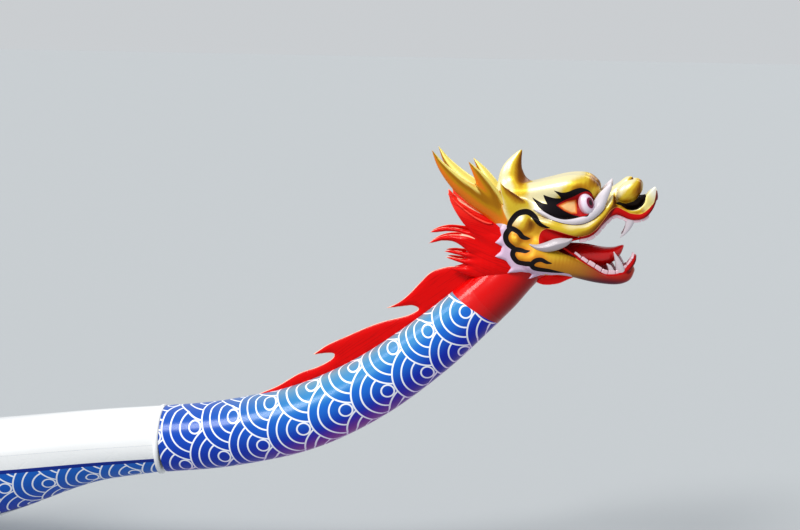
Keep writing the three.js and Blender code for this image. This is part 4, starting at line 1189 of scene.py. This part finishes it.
HULL_ROWS = np.array([
    # distance from midships, half beam, keel, sheer, crown and fullness
    [0, 560, -70, 300, 40, 2.9], [1000, 556, -70, 300, 40, 2.9], [1900, 525, -68, 303, 40, 2.8],
    [2700, 445, -58, 312, 40, 2.6], [3300, 350, -36, 325, 40, 2.4], [3700, 277, 0, 338, 52, 2.2],
    [4000, 220, 60, 352, 66, 2.1], [4300, 165, 172, 372, 84, 2], [4550, 122, 272, 394, 95, 2],
    [4750, 99, 312, 411, 99, 2]])
SHELL = 0.012
HULL_SIDES = 61
INNER_END = SEAM_X - SHELL
DECK_X = 3.4
DECK_SIDES = 41
RAIL_END, RAIL_WIDTH, RAIL_DEPTH, RAIL_PROUD = 4.3, 0.024, 0.034, 0.006
RAIL_RADIUS, RAIL_STEPS, RAIL_TAPER = 0.008, 4, 0.3
BAND = (0.05, 0.235)   # the wave band's upper and lower edge, down the skin from the sheer
GAP = 0.0003           # between the hull's skin and the rails and decks


def hull_at(x):
    """Half beam, keel, sheer, crown and fullness at places along the hull, in metres."""
    at = HULL_ROWS[:, 0]
    away = np.minimum(np.abs(np.asarray(x, float)) / MM, at[-1])
    low = np.clip(np.searchsorted(at, away, side="right") - 1, 0, len(at) - 2)
    slopes = np.zeros_like(HULL_ROWS)
    slopes[1:-1] = (HULL_ROWS[2:] - HULL_ROWS[:-2]) / (at[2:] - at[:-2])[:, None]
    slopes[-1] = (HULL_ROWS[-1] - HULL_ROWS[-2]) / (at[-1] - at[-2])
    span = at[low + 1] - at[low]
    t = ((away - at[low]) / span)[..., None]
    value = HULL_ROWS[low] + (HULL_ROWS[low + 1] - HULL_ROWS[low]) * t * t * (3 - 2 * t)
    value = value + span[..., None] * (t * (1 - t) ** 2 * slopes[low] + t * t * (t - 1) * slopes[low + 1])
    beam, keel, sheer, crown = (value[..., k] * MM for k in range(1, 5))
    return beam, keel, sheer, crown, value[..., 5]


def section(x, turn, inset=0.0):
    """Points of the hull's section: turn runs from -90 at starboard through the keel to 90 at port."""
    beam, keel, sheer, _, full = (value[:, None] for value in hull_at(x))
    half, depth = beam - inset, sheer - keel - inset
    y = np.sign(turn) * half * np.abs(np.sin(turn)) ** (2 / full)
    z = sheer - depth * np.maximum(np.cos(turn), 0) ** (2 / full)
    return np.stack(np.broadcast_arrays(x[:, None], y, z), -1)


def places(start, end, step=0.05):
    """Even places along the hull, about a step apart."""
    return np.linspace(start, end, max(int(round((end - start) / step)), 1) + 1)


def eased_turns(count):
    """Turns from starboard to port, closer together where the section bends most."""
    t = np.linspace(-1, 1, count)
    return (t + 0.12 * np.sin(2 * math.pi * t) / math.pi) * math.pi / 2


def hull_values(points, inside):
    """The pattern's place on the side, and how far each point lies below the sheer along the skin."""
    skin = np.linalg.norm(np.diff(points, axis=1), axis=2)
    down = np.concatenate([np.zeros((len(points), 1)), np.cumsum(skin, axis=1)], axis=1)
    down = np.minimum(down, down[:, -1:] - down)
    xs = points[:, 0, 0]
    run = run_along(np.stack([xs, hull_at(xs)[2]], -1))
    values = {"along": (run - run[len(run) // 2])[:, None], "aside": down, "inside": inside,
              "height": 0.3 - down / 0.3, "reach": 1}
    return {key: np.broadcast_to(value, down.shape).ravel() for key, value in values.items()}


xs, turns = places(-SEAM_X, SEAM_X), eased_turns(HULL_SIDES)
outer = section(xs, turns)
lip = section(np.clip(xs, -INNER_END, INNER_END), turns, SHELL)
# Each skin's grid of points, and whether it is inside
skins = [(outer, 0), (section(places(-INNER_END, INNER_END), turns, SHELL)[:, ::-1], 1)]
for side, way in ((0, -1), (-1, 1)):
    skins.append((np.stack([outer[:, side], lip[:, side]], 1)[:, ::way], 1))
for end, way in ((0, -1), (-1, 1)):
    middle = np.repeat(outer[end].mean(0)[None], len(turns), 0)
    skins.append((np.stack([outer[end], middle])[::way], 0))
found = [hull_values(grid, inside) for grid, inside in skins]
values = {key: np.concatenate([one[key] for one in found]) for key in found[0]}
hull = mesh_object("hull_skin", *joined([sheet(grid) for grid, _ in skins]), values)

hull_paint = wave_paint("hull_gelcoat")
down, inside = hull_paint.attribute("aside"), hull_paint.attribute("inside")
band = down.step(BAND[0] - 0.001, BAND[0] + 0.001) * down.step(BAND[1] + 0.001, BAND[1] - 0.001)
trim = (down - BAND[0]).size().lesser((down - BAND[1]).size()).step(0.0065, 0.0055)
hull_paint.colour = hull_paint.mix("ECEDEE", hull_paint.colour, band)
hull_paint.coats(
    ("10308F", trim),
    ("9CC4E0", inside.step(0.4, 0.6)),
    ("C9CCC6", hull_paint.place()[2].step(0.012, -0.02) * 0.35 * (inside * -1.0 + 1.0)))
piece(hull, hull_paint.done(), ["hull_shell"])

gelcoat = Finish("hull_gelcoat_white", "ECEDEE", 0.22, coat=0.4)
white_gelcoat = gelcoat.clouds("CFD3D6", 0.3, 0.05, 0.25, 3.0, 4.0).done()
inner_coat = Finish("inner_gelcoat", "9CC4E0", 0.42).clouds("7FA9C8", 0.5, 0.02, 0.2, 5.0, 4.0)
inner_gelcoat = inner_coat.uneven(0.0006, 0.4, 90.0, 2.0).done()


def rail_section():
    """Closed outline of the rail across and up, from its inner lower corner, with rounded outer corners."""
    low, high = -RAIL_DEPTH + RAIL_PROUD, RAIL_PROUD
    across = RAIL_WIDTH - RAIL_RADIUS
    made = [(GAP, low)]
    for up, start in ((low + RAIL_RADIUS, -90), (high - RAIL_RADIUS, 0)):
        for turn in np.radians(start + np.arange(RAIL_STEPS + 1) * 90 / RAIL_STEPS):
            made.append((GAP + across + RAIL_RADIUS * math.cos(turn), up + RAIL_RADIUS * math.sin(turn)))
    return np.array(made + [(GAP, high)])


across, rise = rail_section().T
xs = places(-RAIL_END, RAIL_END)
beam, _, sheer, _, _ = (value[:, None] for value in hull_at(xs))
rings = np.stack(np.broadcast_arrays(xs[:, None], beam + across, sheer + rise), -1)
taper = np.clip((RAIL_END - np.abs(xs)) / RAIL_TAPER, 0.03, 1)[:, None, None] ** 0.5
corner = rings[:, :1] + [0, 0, RAIL_DEPTH / 2]
rings = corner + (rings - corner) * taper
ends = [rings[one].mean(1, keepdims=True).repeat(rings.shape[1], 1) for one in (slice(1), slice(-1, None))]
rail_shape = tube(np.concatenate([ends[0], rings, ends[1]]))
for name, shape in (("port", rail_shape), ("starboard", mirrored(*rail_shape))):
    piece(mesh_object(f"rail_{name}", *shape), white_gelcoat, [f"gunwale_{name}"])

turns, xs = np.linspace(-math.pi / 2, math.pi / 2, DECK_SIDES), places(DECK_X, SEAM_X, 0.03)
beam, _, sheer, crown, _ = (value[:, None] for value in hull_at(xs))
upper, lower = (np.stack(np.broadcast_arrays(xs[:, None], beam * np.sin(turns), sheer + GAP + height), -1)
                for height in (crown * np.maximum(np.cos(turns), 0), 0))
front, back = (np.stack([lower[end], upper[end]]) for end in (-1, 0))
points, faces = joined([sheet(upper, flip=True), sheet(lower), sheet(back, flip=True), sheet(front)])
for name, facing in (("bow", 1), ("stern", -1)):
    deck = mesh_object(f"{name}_deck_skin", points * [facing, facing, 1], faces)
    piece(deck, white_gelcoat, [f"{name}_deck"])

# What is fixed inside, from the solids with their edges rounded

def refined(node, material, bevel, segments=3, body="root"):
    """A copy of a solid with rounded edges, in its place."""
    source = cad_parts[node]
    mesh = source.data.copy()
    made = bpy.data.objects.new(f"{node}_finished", mesh)
    bpy.context.scene.collection.objects.link(made)
    made.matrix_world = source.matrix_world.copy()
    work = bmesh.new()
    work.from_mesh(mesh)
    bmesh.ops.remove_doubles(work, verts=work.verts, dist=1e-5)
    bmesh.ops.dissolve_limit(work, angle_limit=math.radians(1.5), verts=work.verts, edges=work.edges)
    work.to_mesh(mesh)
    work.free()
    mesh.shade_smooth()
    rounding = made.modifiers.new("rounding", "BEVEL")
    rounding.width, rounding.segments = bevel, segments
    rounding.limit_method, rounding.angle_limit = "ANGLE", math.radians(35)
    rounding.harden_normals = True
    piece(made, material, [node], body)


for node in ("bow_bulkhead", "stern_bulkhead", "seat_ledge_port", "seat_ledge_starboard"):
    refined(node, inner_gelcoat, 0.005)
refined("floor", inner_gelcoat, 0.003)
refined("drummer_seat", white_gelcoat, 0.012, 4)


def wood(name, colour, dark, along="y", scale=1.0):
    """Varnished timber with its grain along one axis."""
    finish = Finish(name, colour, 0.42, coat=0.25)
    stretch = [(2.0 if key == along else 26.0) * scale for key in "xyz"]
    at = finish.point(*(place * share for place, share in zip(finish.place(), stretch)))
    rings, fine = finish.noise(1.0, 4.0, at), finish.noise(5.0, 3.0, at)
    finish.paint(dark, ((rings * 6.0).sine() * 0.5 + fine * 0.6).step(0.1, 0.9) * 0.55)
    return finish.bump(fine, 0.0008, 0.4)


seat_finish = wood("seat_wood", "BE8C4E", "8A5A28")
seat_wood = seat_finish.paint("9CC4E0", seat_finish.place()[2].step(0.199, 0.1985)).done()
for i in range(1, 6):
    refined(f"seat_{i}", seat_wood, 0.006)
refined("number_board", Finish("board_red", "C9151A", 0.28, coat=0.4).done(), 0.0035)

# The drum, measured from its middle

DRUM = np.array([2.4, 0.0, 0.0])
DRUM_LOW, DRUM_HIGH, HEAD_RADIUS, BELLY_RADIUS, SKIN = 0.2, 0.54, 0.19, 0.222, 0.006
WALL, LAP, ROUNDING = 0.022, 0.026, 0.003
LATHE_SIDES = 72
STUDS, STUD_RADIUS = 40, 0.0055


def lathe(profile, middle=DRUM):
    """A closed turned shape from pairs of radius and height, from its lower middle round to its upper one."""
    reach, height = np.asarray(profile, float).T[..., None]
    turn = circle(LATHE_SIDES)
    rings = np.stack([reach * np.cos(turn), reach * np.sin(turn), height + 0 * turn], -1)
    points, faces = tube(rings, flip=True)
    return points + middle, faces


def belly(height):
    """The barrel's radius."""
    t = np.clip((height - DRUM_LOW) / (DRUM_HIGH - DRUM_LOW), 0, 1)
    return HEAD_RADIUS + (BELLY_RADIUS - HEAD_RADIUS) * np.sin(math.pi * t)


def shell(levels, outside, inside):
    """A band of the barrel's shape, its two faces that far out from the barrel's radius."""
    profile = [(belly(h) + outside, h) for h in levels] + [(belly(h) + inside, h) for h in levels[::-1]]
    return lathe(profile + profile[:1])


drum_finish = Finish("drum_lacquer", "C5141A", 0.2, coat=0.6, coat_roughness=0.06)
level = drum_finish.place()[2]
for middle, colour in ((0.262, "E9B21B"), (0.478, "E9B21B"), (0.285, "E2651B"), (0.455, "E2651B")):
    drum_finish.paint(colour, (level - middle).size().step(0.0095, 0.0085))
drum_lacquer = drum_finish.uneven(0.0006, 0.3, 30.0).done()
barrel = mesh_object("drum_body", *shell(np.linspace(DRUM_LOW + SKIN, DRUM_HIGH - SKIN, 37), -0.0005, -WALL))
piece(barrel, drum_lacquer, ["drum_barrel"])

hide = Finish("drum_skin", "EFE8D6", 0.55).clouds("D8C7A0", 0.6, 0.0, 0.25, 9.0, 5.0)
drum_skin = hide.uneven(0.0008, 0.4, 60.0, 4.0).done()
for node, low, lap in (("drum_skin_lower", DRUM_LOW, 1), ("drum_skin_upper", DRUM_HIGH - SKIN + 0.0006, -1)):
    high = low + SKIN
    edge = high if lap == -1 else low
    fold = edge + lap * LAP
    skin = [(0, low), (HEAD_RADIUS - ROUNDING, low), (HEAD_RADIUS, low + ROUNDING),
            (HEAD_RADIUS, high - ROUNDING), (HEAD_RADIUS - ROUNDING, high), (0, high)]
    piece(mesh_object(f"{node}_hide", *lathe(skin)), drum_skin, [node])
    heights = np.linspace(min(edge, fold), max(edge, fold), 9)
    piece(mesh_object(f"{node}_lap", *shell(heights, 0.0022, -0.0003)), drum_skin)

brass = Finish("stud_brass", "D9A84A", 0.3, metallic=1.0).done()
points, faces = globe(STUD_RADIUS, steps=8)
studs = []
for height in (DRUM_LOW + 0.021, DRUM_HIGH - 0.02):
    reach = belly(height) + 0.0015
    for turn in circle(STUDS):
        studs.append((points + DRUM + [reach * math.cos(turn), reach * math.sin(turn), height], faces))
piece(mesh_object("drum_studs", *joined(studs)), brass)
refined("drum_stand", wood("drum_wood", "8C4A22", "5A2A12", "z").done(), 0.004)

# Tail, steering oar and couplings

wave_stalk("tail_waves", TAIL_ROWS, STERN_SEAM, "tail_stalk", TAIL_SCALE_ROW, -1)
TAIL_FIN = [[230, 88], [268, 116], [300, 152], [330, 216], [330, 216], [352, 196], [400, 192], [440, 268],
            [440, 268], [458, 246], [500, 243], [545, 335], [545, 335], [560, 314], [605, 314], [640, 420],
            [640, 420], [658, 400], [705, 404], [722, 512], [722, 512], [745, 498], [790, 502], [790, 612],
            [790, 612], [812, 598], [850, 602], [842, 715], [842, 715], [866, 702], [900, 702], [905, 800],
            [905, 800], [932, 786], [960, 780], [1000, 690], [1000, 660], [975, 560], [915, 480], [780, 305],
            [600, 165], [400, 70], [300, 60]]
TUFT = [[1020, 770], [975, 800], [958, 845], [975, 900], [935, 960], [930, 1060], [930, 1060], [962, 1012],
        [985, 1000], [1000, 1080], [972, 1150], [1000, 1240], [1000, 1240], [1022, 1170], [1060, 1130],
        [1085, 1190], [1130, 1290], [1130, 1290], [1128, 1200], [1150, 1150], [1195, 1190], [1275, 1270],
        [1275, 1270], [1258, 1190], [1255, 1120], [1310, 1108], [1400, 1140], [1400, 1140], [1350, 1070],
        [1330, 1020], [1360, 982], [1430, 960], [1430, 960], [1380, 925], [1320, 908], [1230, 880],
        [1170, 820], [1120, 798], [1060, 770]]
blade("tail_fin_blade", "tail_fin", through(TAIL_FIN, 4, True), STERN_SEAM, -1, 6, 16, 2.8, 0.8)
blade("tail_tuft_blade", "tail_tuft", through(TUFT, 4, True), STERN_SEAM, -1, 8.3, 26, 3.0, 1.0)

steel = Finish("steel", "A8ACB0", 0.3, metallic=1.0).uneven(0.0003, 0.3, 160.0, 2.0).done()
oar_wood = wood("oar_wood", "C89A5C", "9A6A34", "x", 0.8).done()
rubber = Finish("sleeve_rubber", "1C1C1D", 0.75).uneven(0.0006, 0.4, 120.0).done()
refined("rowlock_arm", steel, 0.004)
refined("rowlock", steel, 0.0025, body="rowlock")
for node in ("oar_shaft", "oar_blade", "oar_handle"):
    refined(node, oar_wood, 0.003, body="steering_oar")
refined("oar_sleeve", rubber, 0.003, body="steering_oar")

FLANGE_RADIUS, FLANGE = 0.104, 0.014
rim = [(0, GAP), (FLANGE_RADIUS - ROUNDING, GAP), (FLANGE_RADIUS, ROUNDING),
       (FLANGE_RADIUS, FLANGE - ROUNDING), (FLANGE_RADIUS - ROUNDING, FLANGE), (0, FLANGE)]
points, faces = lathe(rim, np.zeros(3))
for name, base, facing in (("neck", BOW_SEAM, 1), ("tail", STERN_SEAM, -1)):
    made = mesh_object(f"{name}_flange", points[:, [2, 1, 0]] * [facing, facing, 1] + base, faces[:, ::-1])
    piece(made, white_gelcoat, [f"{name}_coupling"])

# Camera, light and the still water's floor

scene = bpy.context.scene
scene.view_settings.view_transform = "Standard"
scene.view_settings.look = "Medium High Contrast"
world = bpy.data.worlds.new("studio")
world.use_nodes = True
background = world.node_tree.nodes["Background"].inputs
background["Color"].default_value = (0.94, 0.97, 1.0, 1.0)
background["Strength"].default_value = 0.55
scene.world = world


def lamp(name, place, strength, spread, colour):
    """A broad soft light from far away, shining from place toward the origin."""
    light = bpy.data.lights.new(name, "SUN")
    light.energy, light.angle, light.color = strength, math.radians(spread), colour
    made = bpy.data.objects.new(name, light)
    made.rotation_euler = (-Vector(place)).to_track_quat("-Z", "Y").to_euler()
    scene.collection.objects.link(made)


lamp("key", (-0.9, -1.6, 1.7), 1.7, 22, (1.0, 0.98, 0.94))
lamp("sky", (-0.82, -0.22, 0.54), 1.1, 24, (1.0, 0.99, 0.97))
lamp("rim", (0.7, 1.4, 1.3), 0.4, 30, (0.95, 0.97, 1.0))

FLOOR = 60
floor = bpy.data.meshes.new("floor")
corners = [(-FLOOR, -FLOOR, 0), (FLOOR, -FLOOR, 0), (FLOOR, FLOOR, 0), (-FLOOR, FLOOR, 0)]
floor.from_pydata(corners, [], [(0, 1, 2, 3)])
ground = bpy.data.objects.new("studio_floor", floor)
scene.collection.objects.link(ground)
ground.data.materials.append(Finish("floor_paper", "AEB2B5", 0.8).done())

forward = Vector(CAMERA_FORWARD).normalized()
up = Vector(CAMERA_UP)
right = forward.cross(up).normalized()
up = right.cross(forward)
turned = Matrix((right, up, -forward)).transposed().to_4x4()
camera_data = bpy.data.cameras.new("camera")
camera_data.lens, camera_data.sensor_width = CAMERA_LENS, 36.0
camera = bpy.data.objects.new("camera", camera_data)
camera.matrix_world = Matrix.Translation(CAMERA_PLACE) @ turned
scene.collection.objects.link(camera)
scene.camera = camera
